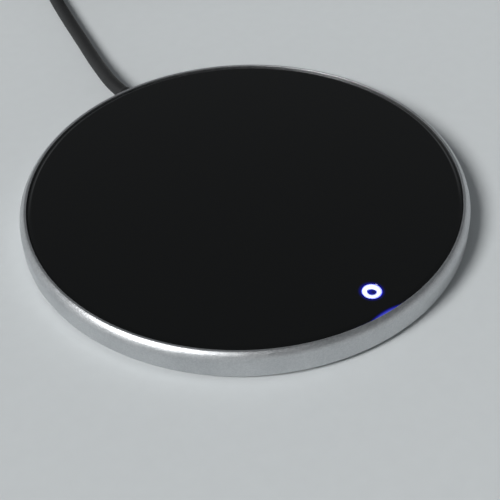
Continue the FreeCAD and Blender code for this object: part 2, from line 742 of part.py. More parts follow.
transistor_spot = (8.0, 29.0)
case_outline = centred("caseLength / 2", "caseWidth / 2")
tab = rectangle("-tabLength / 2", "-caseWidth / 2 - tabReach", "tabLength / 2", "0")
transistor = [
    on_board("transistor_case", case_outline, "boardTop", "caseHeight", transistor_spot),
    on_board("transistor_tab", tab, "boardTop", "pinThick", transistor_spot),
]
for side in ("-", ""):
    leg = rectangle(
        side + "legStep - legWidth / 2", "0", side + "legStep + legWidth / 2", "caseWidth / 2 + tabReach"
    )
    transistor.append(on_board("transistor_leg", leg, "boardTop", "pinThick", transistor_spot))
nodes["power_transistor"] = joined("power_transistor", transistor)

capacitor_spots = [(3.6, -7.0), (8.6, -9.0), (3.6, 7.5)]
resistor_spots = [(9.5, -27.0), (7.2, -27.0), (4.5, 12.5), (7.0, 13.0), (3.0, 20.0)]
nodes["capacitors"] = board_blocks("capacitors", "capLength", "capWidth", "capHeight", capacitor_spots)
nodes["resistors"] = board_blocks(
    "resistors", "resistorLength", "resistorWidth", "resistorHeight", resistor_spots
)

# Light of the button: two light chips beside the switch, inside a foam collar
led_outline = centred("ledWidth / 2", "ledHalfLength")
light_chips = [
    slab("ring_led", led_outline, "boardTop", "ledHeight", x, "-keyPlace") for x in ("-ledPlace", "ledPlace")
]
nodes["ring_leds"] = joined("ring_leds", light_chips, "Part::Compound")
nodes["light_shield"] = spun(
    "light_shield",
    rectangle("shieldInner", "boardTop", "shieldInner + shieldThick", "plateBottom - seatGap"),
    y="-keyPlace",
)

# Button and switch: cap and lit ring move down together on the plunger, over a snap dome
nodes["light_ring"] = spun(
    "light_ring",
    [
        ("keyCore", "flangeBottom"),
        ("keyFlange", "flangeBottom"),
        ("keyFlange", "flangeTop"),
        ("keyRadius", "flangeTop"),
        ("keyRadius", "keyTop"),
        ("keyCore", "keyTop"),
    ],
    y="-keyPlace",
)
nodes["button_cap"] = spun(
    "button_cap",
    [
        ("0", "plungerTop"),
        ("stemRadius", "plungerTop"),
        ("stemRadius", "flangeBottom"),
        ("keyCore - coreGap", "flangeBottom"),
        ("keyCore - coreGap", "keyTop"),
        ("0", "keyTop"),
    ],
    y="-keyPlace",
)
nodes["switch_plunger"] = spun(
    "switch_plunger",
    [
        ("0", "domeTop"),
        ("plungerRadius * 1.4", "domeTop"),
        ("plungerRadius * 1.4", "switchTop - seatGap"),
        ("plungerRadius", "switchTop - seatGap"),
        ("plungerRadius", "plungerTop"),
        ("0", "plungerTop"),
    ],
    y="-keyPlace",
)
nodes["switch_dome"] = spun(
    "switch_dome",
    [
        ("domeMouth", "domeBottom"),
        ("domeRadius", "domeBottom", "domeCurve"),
        ("0", "domeTop"),
        ("0", "domeTop - domeThick", "-domeInnerCurve"),
    ],
    y="-keyPlace",
)
switch_outline = centred("switchHalf", "switchHalf")
switch = slab("switch_body", switch_outline, "boardTop", "switchHeight", y="-keyPlace")
dome_room = sketch_on(switch, "dome_room", "XY_Plane", "domeBottom")
pocket(switch, circles(dome_room, [("0", "0", "domeRadius + domeGap")]), "switchHeight")
nodes["switch_body"] = switch
switch_lid = slab("switch_cover", switch_outline, "switchTop", "switchSkin", y="-keyPlace")
lid_hole = sketch_on(switch_lid, "hole", "XY_Plane", "switchTop")
pocket(switch_lid, circles(lid_hole, [("0", "0", "plungerRadius + keyGap")]), "switchSkin")
nodes["switch_cover"] = switch_lid

# Base cover: floor and upright wall, bosses, standoffs, wire rests, recesses and notches
cover = spun(
    "base_cover",
    [
        ("0", "footLift"),
        ("coverRadius", "footLift"),
        ("coverRadius", "upstandTop"),
        ("upstandInner", "upstandTop"),
        ("upstandInner", "floorTop"),
        ("0", "floorTop"),
    ],
)
boss = circles(
    sketch_on(cover, "boss", "XY_Plane", "floorTop", corner_turns[0]), [("footPlace", "0", "bossRadius")]
)
around(cover, pad(cover, boss, "bossTop - floorTop"), len(corner_turns))
standoffs = circles(
    sketch_on(cover, "standoffs", "XY_Plane", "floorTop"),
    [(x, y, "standoffRadius") for x, y in board_screw_spots],
)
pad(cover, standoffs, "standoffHeight")
rests = circles(
    sketch_on(cover, "wire_rests", "XY_Plane", "floorTop"),
    [polar("wirePlace + wireStep / 2", turn) + ("restRadius",) for turn in ("112", "156", "200")],
)
pad(cover, rests, "boardTop - floorTop - seatGap")
foot_room = circles(
    sketch_on(cover, "foot_room", "XY_Plane", "footLift", corner_turns[0]),
    [("footPlace", "0", "footRadius + footGap")],
)
around(cover, pocket(cover, foot_room, "footSink"), len(corner_turns))
head_room = circles(
    sketch_on(cover, "head_room", "XY_Plane", "recessTop", corner_turns[0]),
    [("footPlace", "0", "headRadius + screwGap")],
)
around(cover, pocket(cover, head_room, "headThick"), len(corner_turns))
shank_room = circles(
    sketch_on(cover, "shank_room", "XY_Plane", "headTop", corner_turns[0]),
    [("footPlace", "0", "shankRadius + 2 * screwGap")],
)
around(cover, pocket(cover, shank_room, "bossTop - headTop"), len(corner_turns))
lug_notch = outline(
    sketch_on(cover, "lug_notch", "XY_Plane", "bossTop", corner_turns[0]),
    rectangle(
        "upstandInner - upstandThick",
        "-lugRadius - lugNotch",
        "coverRadius + upstandThick",
        "lugRadius + lugNotch",
    ),
)
around(cover, pocket(cover, lug_notch, "upstandTop - bossTop + seatGap"), len(corner_turns))
relief_notch = outline(
    sketch_on(cover, "relief_notch", "XY_Plane", "floorTop"),
    rectangle(
        "exitOffset - flangeHalf - lugNotch",
        "flangeFront",
        "exitOffset + flangeHalf + lugNotch",
        "coverRadius + upstandThick",
    ),
)
pocket(cover, relief_notch, "upstandTop - floorTop + seatGap")
screw_room = circles(
    sketch_on(cover, "screw_room", "XY_Plane", "boardBottom"),
    [(x, y, "boardShank + screwGap") for x, y in board_screw_spots],
)
pocket(cover, screw_room, "boardScrewDeep + seatGap", along_normal=False)
nodes["base_cover"] = cover

# Screws and feet
base_screws, feet, board_screws = [], [], []
for turn in corner_turns:
    x, y = polar("footPlace", str(turn))
    screw = spun(
        "base_screw",
        [
            ("0", "recessTop"),
            ("headRadius", "recessTop"),
            ("headRadius", "headTop - seatGap"),
            ("shankRadius", "headTop - seatGap"),
            ("shankRadius", "shankTop"),
            ("0", "shankTop"),
        ],
        x,
        y,
    )
    cross_recess(screw, "recessTop", True)
    base_screws.append(screw)
    foot_profile = [
        ("0", "0"),
        ("footRadius - footRound", "0", "footRound"),
        ("footRadius", "footRound"),
        ("footRadius", "recessTop"),
        ("0", "recessTop"),
    ]
    feet.append(spun("foot", foot_profile, x, y))
for x, y in board_screw_spots:
    screw = spun(
        "board_screw",
        [
            ("0", "screwEnd"),
            ("boardShank", "screwEnd"),
            ("boardShank", "boardTop"),
            ("boardHead", "boardTop"),
            ("boardHead", "boardTop + boardHeadThick"),
            ("0", "boardTop + boardHeadThick"),
        ],
        x,
        y,
    )
    cross_recess(screw, "boardTop + boardHeadThick", False)
    board_screws.append(screw)
nodes["base_screws"] = joined("base_screws", base_screws, "Part::Compound")
nodes["feet"] = joined("feet", feet, "Part::Compound")
nodes["board_screws"] = joined("board_screws", board_screws, "Part::Compound")

# Strain relief in the rim's slot: block, neck over the cover, inner flange and outer collar
relief = []
relief_boxes = [
    ("reliefRadius", "boreRadius + seatGap", "reliefFace", "footLift + seatGap", "exitHeight"),
    ("reliefRadius", "flangeFront - seatGap", "openingRadius", "floorTop + seatGap", "exitHeight"),
    ("neckHalf", "flangeFront - seatGap", "openingRadius + 2 * seatGap", "exitHeight - seatGap", "lugTop"),
    ("flangeHalf", "flangeBack", "flangeFront", "floorTop + seatGap", "lugTop"),
]
for half, near, far, low, high in relief_boxes:
    box = doc.addObject("Part::Box", "relief_block")
    bind(box, Length="2 * (%s)" % half, Width="%s - (%s)" % (far, near), Height="%s - (%s)" % (high, low))
    bind(box, Base_x="exitOffset - (%s)" % half, Base_y=near, Base_z=low)
    relief.append(box)
along_y = Rotation(Vector(1, 0, 0), -90)
arch = doc.addObject("Part::Cylinder", "relief_arch")
arch.Placement = Placement(Vector(0, 0, 0), along_y)
bind(arch, Radius="reliefRadius", Height="reliefFace - openingRadius - 2 * seatGap")
bind(arch, Base_x="exitOffset", Base_y="openingRadius + 2 * seatGap", Base_z="exitHeight")
collar = doc.addObject("Part::Cone", "relief_collar")
collar.Placement = Placement(Vector(0, 0, 0), along_y)
bind(collar, Radius1="reliefRadius", Radius2="reliefRadius - collarTaper", Height="exitFace - reliefFace")
bind(collar, Base_x="exitOffset", Base_y="reliefFace", Base_z="exitHeight")
nodes["cord_grommet"] = joined("cord_grommet", relief + [arch, collar])

# Tubes along edges that follow on from each other: wires and the cord


def arc_edge(centre, radius, first, last, height):
    """An arc about an upright axis, from one direction to another in radians."""
    middle = Vector(centre[0], centre[1], height)
    through = [
        middle + Vector(math.cos(turn), math.sin(turn), 0) * radius
        for turn in (first, (first + last) / 2, last)
    ]
    return Part.Arc(*through).toShape()


def line_edge(start, end):
    return Part.LineSegment(start, end).toShape()


def swept(name, edges, radius):
    """A round tube along a path of lines and arcs, with its volume compared with the path's."""
    path = Part.Wire(edges)
    begins = edges[0].Vertexes[0].Point
    along = (edges[0].Vertexes[-1].Point - begins).normalize()
    section = Part.Wire([Part.Circle(begins, along, radius).toShape()])
    tube = path.makePipeShell([section], True, False)
    share = tube.Volume / (path.Length * math.pi * radius ** 2)
    print("%s: %.1f mm long, volume %.4f of section times length" % (name, path.Length, share))
    return tube


def shown(name, shape):
    """A sub-part whose shape is worked out here."""
    thing = doc.addObject("Part::Feature", name)
    thing.Label = name
    thing.Shape = shape
    nodes[name] = thing


# Supply wires: straight in, one bend, then round inside the rim to the board's left end
bend_x = size("exitOffset + wireStep / 2 - wireTurn")
bend_y = math.sqrt(size("wirePlace + wireTurn") ** 2 - bend_x ** 2)
bend_turn = math.atan2(-bend_y, -bend_x)
wire_height, wire_radius = size("wireHeight"), size("wireRadius")
wire_stop = math.radians(size("wireEnd"))
wires, solder_spots = [], []
for offset in (0.0, size("wireStep")):
    run, bend = size("wirePlace") + offset, size("wireTurn") - offset
    inside = Vector(bend_x + bend, size("flangeBack"), wire_height)
    edges = [
        line_edge(inside, Vector(inside.x, bend_y, wire_height)),
        arc_edge((bend_x, bend_y), bend, 0.0, bend_turn, wire_height),
        arc_edge((0.0, 0.0), run, bend_turn + math.pi, wire_stop, wire_height),
    ]
    wires.append(swept("supply wire", edges, wire_radius))
    past_end = math.degrees(size("solderRadius") / run)
    solder_spots.append(polar("%s" % run, "wireEnd + %s" % past_end))
shown("supply_wires", Part.makeCompound(wires))

# Solder joints at the ends of the wires and the sensors' leads, and the heater's two posts
solder = []
for x, y in solder_spots + lead_ends:
    cone = doc.addObject("Part::Cone", "solder_joint")
    bind(cone, Radius1="solderRadius", Radius2="solderRadius / 2", Height="solderHeight")
    bind(cone, Base_x=x, Base_y=y, Base_z="boardTop")
    solder.append(cone)
nodes["solder_joints"] = joined("solder_joints", solder, "Part::Compound")
post = centred("stripHalf", "stripHalf")
post_y = "-tongueReach + stripHalf + seatGap"
posts = [
    slab("heater_lead", post, "boardTop", "trackBottom - boardTop", x, post_y)
    for x in ("0", "trackGap + trackWidth / 2")
]
nodes["heater_leads"] = joined("heater_leads", posts, "Part::Compound")

# Cord, from the strain relief to the coil: points chosen by hand, each sideways and outwards
# from the strain relief's mouth, with its height over where the cord would lie on the table
cord_radius, cord_diameter = size("cordRadius"), size("cordDiameter")
exit_lift = size("exitHeight - cordRadius")
coil_lift = size("coilLow - cordRadius")
lead_route = [
    (0.0, 0.0, exit_lift),
    (0.0, 5.0, exit_lift),
    (1.4, 11.6, 1.0),
    (3.45, 20.0, 0.2),
    (6.3, 31.6, 0.0),
    (9.0, 43.4, 0.0),
    (12.3, 56.2, 0.0),
    (15.85, 68.2, coil_lift),
    (18.0, 78.4, coil_lift),
]
mouth_of_relief = Vector(size("exitOffset"), size("exitFace"), cord_radius)
lead = [mouth_of_relief + Vector(*offset) for offset in lead_route]

# Directions at the coil: on along the cord, and to its right
entry = lead[-1]
onward = (entry - lead[-2]).normalize()
rightward = Vector(onward.y, -onward.x, 0)

# Cord, from the coil to the plug: points chosen by hand, each to the right and onward from the
# coil's end, with its height over where the cord would lie on the table
high_lift = size("coilHigh - cordRadius")
plug_lift = size("plugHeight - cordRadius")
tail_route = [
    (0.0, 0.0, high_lift),
    (0.0, 8.0, high_lift),
    (1.4, 17.2, 2.7),
    (6.0, 25.4, 0.5),
    (13.4, 31.0, 0.4),
    (22.4, 33.0, plug_lift),
    (30.0, 33.0, plug_lift),
]
coil_end = Vector(entry.x, entry.y, cord_radius) + onward * (2 * cord_diameter)
tail = [coil_end + rightward * x + onward * y + Vector(0, 0, z) for x, y, z in tail_route]


def rounded_route(name, points):
    """Straight runs joined by arcs as large as the runs allow."""
    edges, radii, at = [], [], points[0]
    for before, corner, after in zip(points, points[1:], points[2:]):
        back = 0.45 * min((corner - before).Length, (after - corner).Length)
        first = (before - corner).normalize()
        second = (after - corner).normalize()
        half_turn = (math.pi - first.getAngle(second)) / 2
        radius = back / math.tan(half_turn)
        inward = (first + second).normalize()
        middle = corner + inward * (radius / math.cos(half_turn) - radius)
        enter, leave = corner + first * back, corner + second * back
        edges.append(line_edge(at, enter))
        edges.append(Part.Arc(enter, middle, leave).toShape())
        radii.append(radius)
        at = leave
    edges.append(line_edge(at, points[-1]))
    print("%s: arc radii %s mm" % (name, " ".join("%.0f" % radius for radius in radii)))
    return edges


shown("cord_lead", swept("cord_lead", rounded_route("cord_lead", lead), cord_radius))
shown("cord_tail", swept("cord_tail", rounded_route("cord_tail", tail), cord_radius))

# Coil of the cord's spare length: two layers of half turns about two centres. The lower layer
# winds inwards, the innermost half turn climbs, and the upper layer winds outwards.


def half_turn_edges(start, end, side):
    """Two quarter arcs from start to end, by way of the side that the direction points to."""
    middle = (start + end) * 0.5
    arm = start - middle
    out = side * arm.Length
    turns = [math.radians(degrees) for degrees in (0, 45, 90, 135, 180)]
    points = [middle + arm * math.cos(turn) + out * math.sin(turn) for turn in turns]
    return [Part.Arc(*points[:3]).toShape(), Part.Arc(*points[2:]).toShape()]


layer_halves = 2 * round(size("coilRounds"))
steps_out = list(range(layer_halves - 1, -1, -1)) + list(range(1, layer_halves + 1))
at = entry + onward * cord_diameter
coil_edges = [line_edge(entry, at)]
for i, steps in enumerate(steps_out):
    side = 1 if i % 2 == 0 else -1
    across = 2 * size("coilInner") + steps * size("coilPitch")
    end = at + rightward * (side * across)
    if steps == 0:
        end.z = size("coilHigh")
    coil_edges += half_turn_edges(at, end, onward * side)
    at = end
coil_edges.append(line_edge(at, at + onward * cord_diameter))
shown("cord_coil", swept("cord_coil", coil_edges, cord_radius))


def least_gap(edges, diameter):
    """Least gap of a tube to itself, between points at least three diameters apart along it."""
    points = []
    for edge in edges:
        points += edge.discretize(Number=math.ceil(edge.Length) + 1)[:-1]
    skip = math.ceil(3 * diameter)
    nearest = min(
        (point - other).Length for i, point in enumerate(points) for other in points[i + skip:]
    )
    return nearest - diameter


print("cord_coil: least gap to itself %.2f mm" % least_gap(coil_edges, cord_diameter))

# Tie round the coil: a flat band with round corners
heading = math.degrees(math.atan2(rightward.y, rightward.x))
tie = body_named("cord_tie")
tie_sketch = sketch_on(tie, "loop", "YZ_Plane", "-tieHalf")
tie_ceiling = "coilHigh + cordRadius + tieGap"
tie_outside = rounded(
    "tieNear - tieThick", "0", "tieFar + tieThick", tie_ceiling + " + tieThick", "tieRound"
)
outline(tie_sketch, tie_outside)
outline(tie_sketch, rounded("tieNear", "tieThick", "tieFar", tie_ceiling, "(tieRound - tieThick)"))
pad(tie, tie_sketch, "2 * tieHalf")
tie_middle = Vector(entry.x, entry.y, 0) + rightward * size("coilOuter")
tie.Placement = Placement(tie_middle, Rotation(Vector(0, 0, 1), heading))
nodes["cord_tie"] = tie

# Plug, made along its own x from the cord's end, then placed on it
plug_placement = Placement(tail[-1], Rotation(Vector(0, 0, 1), heading))
grip_end = "bootLength + gripLength"
shell_start = grip_end + " - shellSink"

boot = body_named("plug_boot")
boot_profile = [("0", "0"), ("0", "bootStart")]
boot_grooves = [(0.18, 0.29), (0.42, 0.53), (0.66, 0.77)]
for near, far in boot_grooves:
    for share, depth in ((near, "0"), (near, "bootGroove"), (far, "bootGroove"), (far, "0")):
        radius = "bootStart + (bootRadius - bootStart) * %s - %s" % (share, depth)
        boot_profile.append(("bootLength * %s" % share, radius))
boot_profile += [("bootLength", "bootRadius"), ("bootLength", "0")]
revolve(boot, outline(sketch_on(boot, "profile", "XZ_Plane"), boot_profile), "H_Axis")

grip = body_named("plug_grip")
grip_section = rounded("-gripWidth / 2", "-gripHeight / 2", "gripWidth / 2", "gripHeight / 2", "gripRound")
grip_sketch = sketch_on(grip, "section", "YZ_Plane", "bootLength")
grip_pad = pad(grip, outline(grip_sketch, grip_section), "gripLength")
doc.recompute()
grip_ends = [
    "Face%d" % number
    for number, face in enumerate(grip_pad.Shape.Faces, 1)
    if abs(face.normalAt(0, 0).x) > 0.99
]
grip_rounds = grip.newObject("PartDesign::Fillet", "grip_ends")
grip_rounds.Base = (grip_pad, grip_ends)
bind(grip_rounds, Radius="gripEdge")


def shell_section(gap):
    """Corners of the plug shell's section, grown by a gap."""
    half_width, half_height = "(shellWidth / 2 + %s)" % gap, "(shellHeight / 2 + %s)" % gap
    return rounded("-" + half_width, "-" + half_height, half_width, half_height, "(shellRound + %s)" % gap)


shell_room = sketch_on(grip, "shell_room", "YZ_Plane", grip_end)
pocket(grip, outline(shell_room, shell_section("seatGap")), "shellSink", along_normal=False)

shell = body_named("plug_shell")
shell_sketch = sketch_on(shell, "section", "YZ_Plane", shell_start)
outline(shell_sketch, shell_section("0"))
outline(shell_sketch, shell_section("-shellWall"))
pad(shell, shell_sketch, "shellLength + shellSink")
windows = sketch_on(shell, "windows", "XY_Plane", "-shellHeight")
for side in ("-windowStep", "windowStep"):
    outline(
        windows,
        rectangle(
            "mouth - windowPlace - windowSide / 2",
            side + " - windowSide / 2",
            "mouth - windowPlace + windowSide / 2",
            side + " + windowSide / 2",
        ),
    )
pocket(shell, windows, "2 * shellHeight")

tongue_half = "(shellWidth / 2 - shellWall - shellRound)"
tongue_low = "-(shellHeight / 2 - shellWall)"
tongue_outline = rectangle(shell_start, "-" + tongue_half, "mouth - plugTongueBack", tongue_half)
plug_tongue = slab("plug_tongue", tongue_outline, tongue_low, "plugTongueThick")
contacts = []
for side in ("-", ""):
    for place, back in (("contactNear", "2 * contactBack"), ("contactFar", "contactBack")):
        contact_end = "mouth - plugTongueBack - " + back
        contact = rectangle(
            contact_end + " - contactLength",
            "%s%s - contactHalf" % (side, place),
            contact_end,
            "%s%s + contactHalf" % (side, place),
        )
        contacts.append(slab("plug_contact", contact, tongue_low + " + plugTongueThick", "contactThick"))
plug_bodies = [boot, grip, shell, plug_tongue]
for piece in plug_bodies:
    nodes[piece.Name] = piece
nodes["plug_contacts"] = joined("plug_contacts", contacts, "Part::Compound")
for piece in plug_bodies + contacts:
    for axis in "xyz":
        piece.setExpression("Placement.Base." + axis, None)
    piece.Placement = plug_placement

# Every object has to be sound, and every cut has to take material away, before anything is written
doc.recompute()
for thing in doc.Objects:
    if "Invalid" in thing.State or "Error" in thing.State:
        raise RuntimeError("%s is in state %s" % (thing.Label, thing.State))
    if thing.TypeId == "PartDesign::Pocket":
        removed = thing.BaseFeature.Shape.Volume - thing.Shape.Volume
        if removed <= 0:
            raise RuntimeError("%s cuts nothing" % thing.Label)
for name, piece in nodes.items():
    if piece.Shape.isNull() or not piece.Shape.isValid():
        raise RuntimeError("%s has no valid shape" % name)

os.makedirs("parts", exist_ok=True)
for name, piece in nodes.items():
    piece.Shape.exportStep("parts/%s.step" % name)
print("%d sub-parts written" % len(nodes))
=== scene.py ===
import math

import bpy
from mathutils import Matrix, Quaternion, Vector


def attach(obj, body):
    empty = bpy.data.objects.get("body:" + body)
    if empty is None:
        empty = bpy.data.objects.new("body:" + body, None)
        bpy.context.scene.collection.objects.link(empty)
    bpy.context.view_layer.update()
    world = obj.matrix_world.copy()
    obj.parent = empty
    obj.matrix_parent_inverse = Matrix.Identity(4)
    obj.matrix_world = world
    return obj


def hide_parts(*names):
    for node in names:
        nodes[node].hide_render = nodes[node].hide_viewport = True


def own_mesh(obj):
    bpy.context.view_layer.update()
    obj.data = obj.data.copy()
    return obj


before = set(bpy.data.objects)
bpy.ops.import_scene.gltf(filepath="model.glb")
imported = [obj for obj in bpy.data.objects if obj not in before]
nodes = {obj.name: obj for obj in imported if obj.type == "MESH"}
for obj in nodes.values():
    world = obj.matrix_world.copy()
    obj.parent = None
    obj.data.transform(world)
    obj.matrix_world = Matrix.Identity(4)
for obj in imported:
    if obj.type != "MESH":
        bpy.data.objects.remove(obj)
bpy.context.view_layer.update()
mm = 0.001
print("frame loaded,", len(nodes), "nodes")


def deselectAll():
    if bpy.context.object and bpy.context.object.mode != "OBJECT":
        setMode("OBJECT")
    bpy.ops.object.select_all(action="DESELECT")


def setMode(name):
    bpy.ops.object.mode_set(mode=name)


# Camera: azimuth 0 looks along +Y, and the roll is about the line of sight
view = {
    "target": (-7.08, -10.91, 0.0),
    "azimuth": -36.5,
    "elevation": 43.11,
    "distance": 240.3,
    "roll": -2.19,
    "lens": 79.2,
    "sensor": 36.0,
    "nearest": 10.0,
}


def addCamera():
    turn, rise = math.radians(view["azimuth"]), math.radians(view["elevation"])
    back = Vector((math.sin(turn) * math.cos(rise), -math.cos(turn) * math.cos(rise), math.sin(rise)))
    place = (Vector(view["target"]) + back * view["distance"]) * mm
    aim = back.to_track_quat("Z", "Y") @ Quaternion((0.0, 0.0, 1.0), math.radians(view["roll"]))
    deselectAll()
    bpy.ops.object.camera_add(location=place, rotation=aim.to_euler())
    camera = bpy.context.object
    camera.data.lens = view["lens"]
    camera.data.sensor_width = view["sensor"]
    camera.data.clip_start = view["nearest"] * mm
    bpy.context.scene.camera = camera


addCamera()

# Cord route, millimetres. The lead runs to the coil, and the tail goes on to the plug.
cordRoute = {
    "diameter": 3.5,
    "exit": (1.9, 52.4, 3.4),
    "lead": [
        (1.9, 57.4, 3.4),
        (3.3, 64.0, 2.75),
        (5.35, 72.4, 1.95),
        (8.2, 84.0, 1.78),
        (10.9, 95.8, 1.78),
        (14.2, 108.6, 1.78),
        (17.75, 120.6, 1.85),
    ],
    "coilStart": (19.9, 130.8),
    "onward": (0.20625, 0.9785),
    "coilInner": 13.0,
    "coilPitch": 3.95,
    "rounds": 4,
    "straight": 3.5,
    "lowLayer": 1.82,
    "layerStep": 3.62,
    "tieLift": 0.42,
    "pointsPerHalf": 8,
    "tail": [  # to the right, onward, height
        (0.0, 8.0, 5.44),
        (1.4, 17.2, 3.9),
        (6.0, 25.4, 2.1),
        (13.4, 31.0, 2.1),
        (22.4, 33.0, 3.75),
        (30.0, 33.0, 3.75),
    ],
}
onward = Vector((cordRoute["onward"][0], cordRoute["onward"][1], 0.0))
rightward = Vector((onward.y, -onward.x, 0.0))
coilEntry = Vector((*cordRoute["coilStart"], 0.0))


def coilPoints():
    # half turns about two centres, inwards in the lower layer and outwards in the upper one
    halves = 2 * cordRoute["rounds"]
    stepsOut = list(range(halves - 1, -1, -1)) + list(range(1, halves + 1))
    count = cordRoute["pointsPerHalf"]
    spread = 1.0 / (0.75 + 0.25 * math.cos(math.pi / count))  # the spline runs inside its points
    at = coilEntry + onward * cordRoute["straight"]
    points = []
    for i, steps in enumerate(stepsOut):
        side = 1 if i % 2 == 0 else -1
        radius = cordRoute["coilInner"] + steps * cordRoute["coilPitch"] / 2
        middle = at + rightward * (side * radius)
        for j in range(count):
            turn = math.pi * (j + 0.5) / count
            out = rightward * (-side * math.cos(turn)) + onward * (side * math.sin(turn))
            place = middle + out * (radius * spread)
            climbed = 0.0 if i < halves - 1 else 1.0
            if steps == 0:
                climbed = (1 - math.cos(math.pi * (j + 0.5) / count)) / 2
            lift = cordRoute["tieLift"] * max(0.0, math.sin(turn)) ** 4 if side > 0 else 0.0
            place.z = cordRoute["lowLayer"] + climbed * cordRoute["layerStep"] + lift
            points.append(place)
        at = middle + rightward * (side * radius)
    return points


def cordPoints():
    points = [Vector(cordRoute["exit"])] + [Vector(point) for point in cordRoute["lead"]]
    points.append(coilEntry + Vector((0.0, 0.0, cordRoute["lowLayer"])))
    points += coilPoints()
    tailStart = coilEntry + onward * (2 * cordRoute["straight"])
    for right, ahead, height in cordRoute["tail"]:
        points.append(tailStart + rightward * right + onward * ahead + Vector((0.0, 0.0, height)))
    return points


def addCord():
    points = cordPoints()
    curve = bpy.data.curves.new("cord", "CURVE")
    curve.dimensions = "3D"
    spline = curve.splines.new("NURBS")
    spline.points.add(len(points) - 1)
    for knot, point in zip(spline.points, points):
        knot.co = (*(point * mm), 1.0)
        knot.radius = cordRoute["diameter"] / 2 * mm
    spline.order_u = 3
    spline.use_endpoint_u = True
    spline.resolution_u = 5
    curve.bevel_depth = 1.0  # times each point's radius
    curve.bevel_resolution = 5
    curve.use_fill_caps = True
    piece = bpy.data.objects.new("cord", curve)
    bpy.context.scene.collection.objects.link(piece)
    return piece, points[-1]


cord, plugStart = addCord()
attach(cord, "root")
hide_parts("cord_lead", "cord_coil", "cord_tail")
print("camera and cord placed")


# Shader helpers


def addNode(tree, kind, sockets=None, **settings):
    node = tree.nodes.new("ShaderNode" + kind)
    for name, value in settings.items():
        setattr(node, name, value)
    for place, value in (sockets or {}).items():
        if isinstance(value, bpy.types.NodeSocket):
            tree.links.new(value, node.inputs[place])
        else:
            node.inputs[place].default_value = value
    return node


def calc(tree, operation, first, second=0.0, clamp=False):
    sockets = {0: first} if operation in ("SINE", "SQRT", "ABSOLUTE") else {0: first, 1: second}
    return addNode(tree, "Math", sockets, operation=operation, use_clamp=clamp).outputs[0]


def plus(tree, first, second):
    return calc(tree, "ADD", first, second)


def less(tree, first, second):
    return calc(tree, "SUBTRACT", first, second)


def times(tree, first, second):
    return calc(tree, "MULTIPLY", first, second)


def spreadOver(tree, value, low, high, newLow=0.0, newHigh=1.0):
    sockets = {0: value, 1: low, 2: high, 3: newLow, 4: newHigh}
    return addNode(tree, "MapRange", sockets).outputs[0]


def objectPlace(tree):
    return addNode(tree, "TexCoord").outputs["Object"]


def placeParts(tree):
    return addNode(tree, "SeparateXYZ", {0: objectPlace(tree)}).outputs


def noise(tree, place, scale, detail, **sockets):
    sockets = {"Vector": place, "Scale": scale, "Detail": detail, **sockets}
    return addNode(tree, "TexNoise", sockets).outputs[0]


def distance(tree, parts, centre):
    # level distance from an upright axis given in millimetres
    legs = [less(tree, part, at * mm) for part, at in zip(parts, centre)]
    squares = [times(tree, leg, leg) for leg in legs]
    return calc(tree, "SQRT", plus(tree, squares[0], squares[1]))


def blendColours(tree, share, first, second):
    node = addNode(tree, "Mix", data_type="RGBA")
    for place, value in ((0, share), (6, first), (7, second)):
        if isinstance(value, bpy.types.NodeSocket):
            tree.links.new(value, node.inputs[place])
        else:
            node.inputs[place].default_value = value
    return node.outputs[2]


def startGroup(name, inputs, outputs):
    tree = bpy.data.node_groups.new(name, "ShaderNodeTree")
    kind = "NodeSocketFloat"
    for label, start in inputs.items():
        tree.interface.new_socket(name=label, in_out="INPUT", socket_type=kind).default_value = start
    for label in outputs:
        tree.interface.new_socket(name=label, in_out="OUTPUT", socket_type=kind)
    return tree, tree.nodes.new("NodeGroupInput").outputs, tree.nodes.new("NodeGroupOutput").inputs


def endGroup(tree, sockets, results):
    for label, value in results.items():
        tree.links.new(value, sockets[label])
    return tree


def makeGrain():
    # fine surface grain of a chosen size, with a slower drift in tone over it
    given = {"Size": 0.0003, "Drift": 0.01}
    tree, given, gives = startGroup("surfaceGrain", given, ("Height", "Tone", "Drift"))
    place = objectPlace(tree)
    scale = calc(tree, "DIVIDE", 1.0, given["Size"])
    grain = noise(tree, place, scale, 3.0, Roughness=0.6)
    patch = noise(tree, place, times(tree, scale, 0.37), 2.0)
    drift = noise(tree, place, calc(tree, "DIVIDE", 1.0, given["Drift"]), 2.0)
    height = plus(tree, times(tree, grain, 0.7), times(tree, patch, 0.3))
    tone, drift = (spreadOver(tree, value, 0.3, 0.7) for value in (patch, drift))
    return endGroup(tree, gives, {"Height": height, "Tone": tone, "Drift": drift})


def makeSmudge():
    # faint wiped marks and dust, for roughness
    tree, given, gives = startGroup("handlingMarks", {"Spread": 0.02}, ("Smudge", "Dust"))
    place = objectPlace(tree)
    scale = calc(tree, "DIVIDE", 1.0, given["Spread"])
    streaks = noise(tree, place, scale, 5.0, Roughness=0.62, Distortion=1.4)
    specks = addNode(tree, "TexVoronoi", {"Vector": place, "Scale": 620.0}).outputs["Distance"]
    dust = spreadOver(tree, specks, 0.0, 0.075, 1.0, 0.0)
    where = noise(tree, place, 95.0, 2.0)
    dust = times(tree, dust, spreadOver(tree, where, 0.5, 0.68))
    return endGroup(tree, gives, {"Smudge": spreadOver(tree, streaks, 0.42, 0.72), "Dust": dust})


def makeBrushed():
    # fine lines along one direction of a rolled or drawn sheet
    tree, given, gives = startGroup("rolledLines", {"Width": 0.0001, "Length": 0.02}, ("Height",))
    across = calc(tree, "DIVIDE", 1.0, given["Width"])
    along = calc(tree, "DIVIDE", 1.0, given["Length"])
    stretches = zip(placeParts(tree), (along, across, across))
    parts = {i: times(tree, part, by) for i, (part, by) in enumerate(stretches)}
    stretched = addNode(tree, "CombineXYZ", parts).outputs[0]
    return endGroup(tree, gives, {"Height": noise(tree, stretched, 1.0, 4.0, Roughness=0.65)})


groups = {"grain": makeGrain(), "smudge": makeSmudge(), "brushed": makeBrushed()}


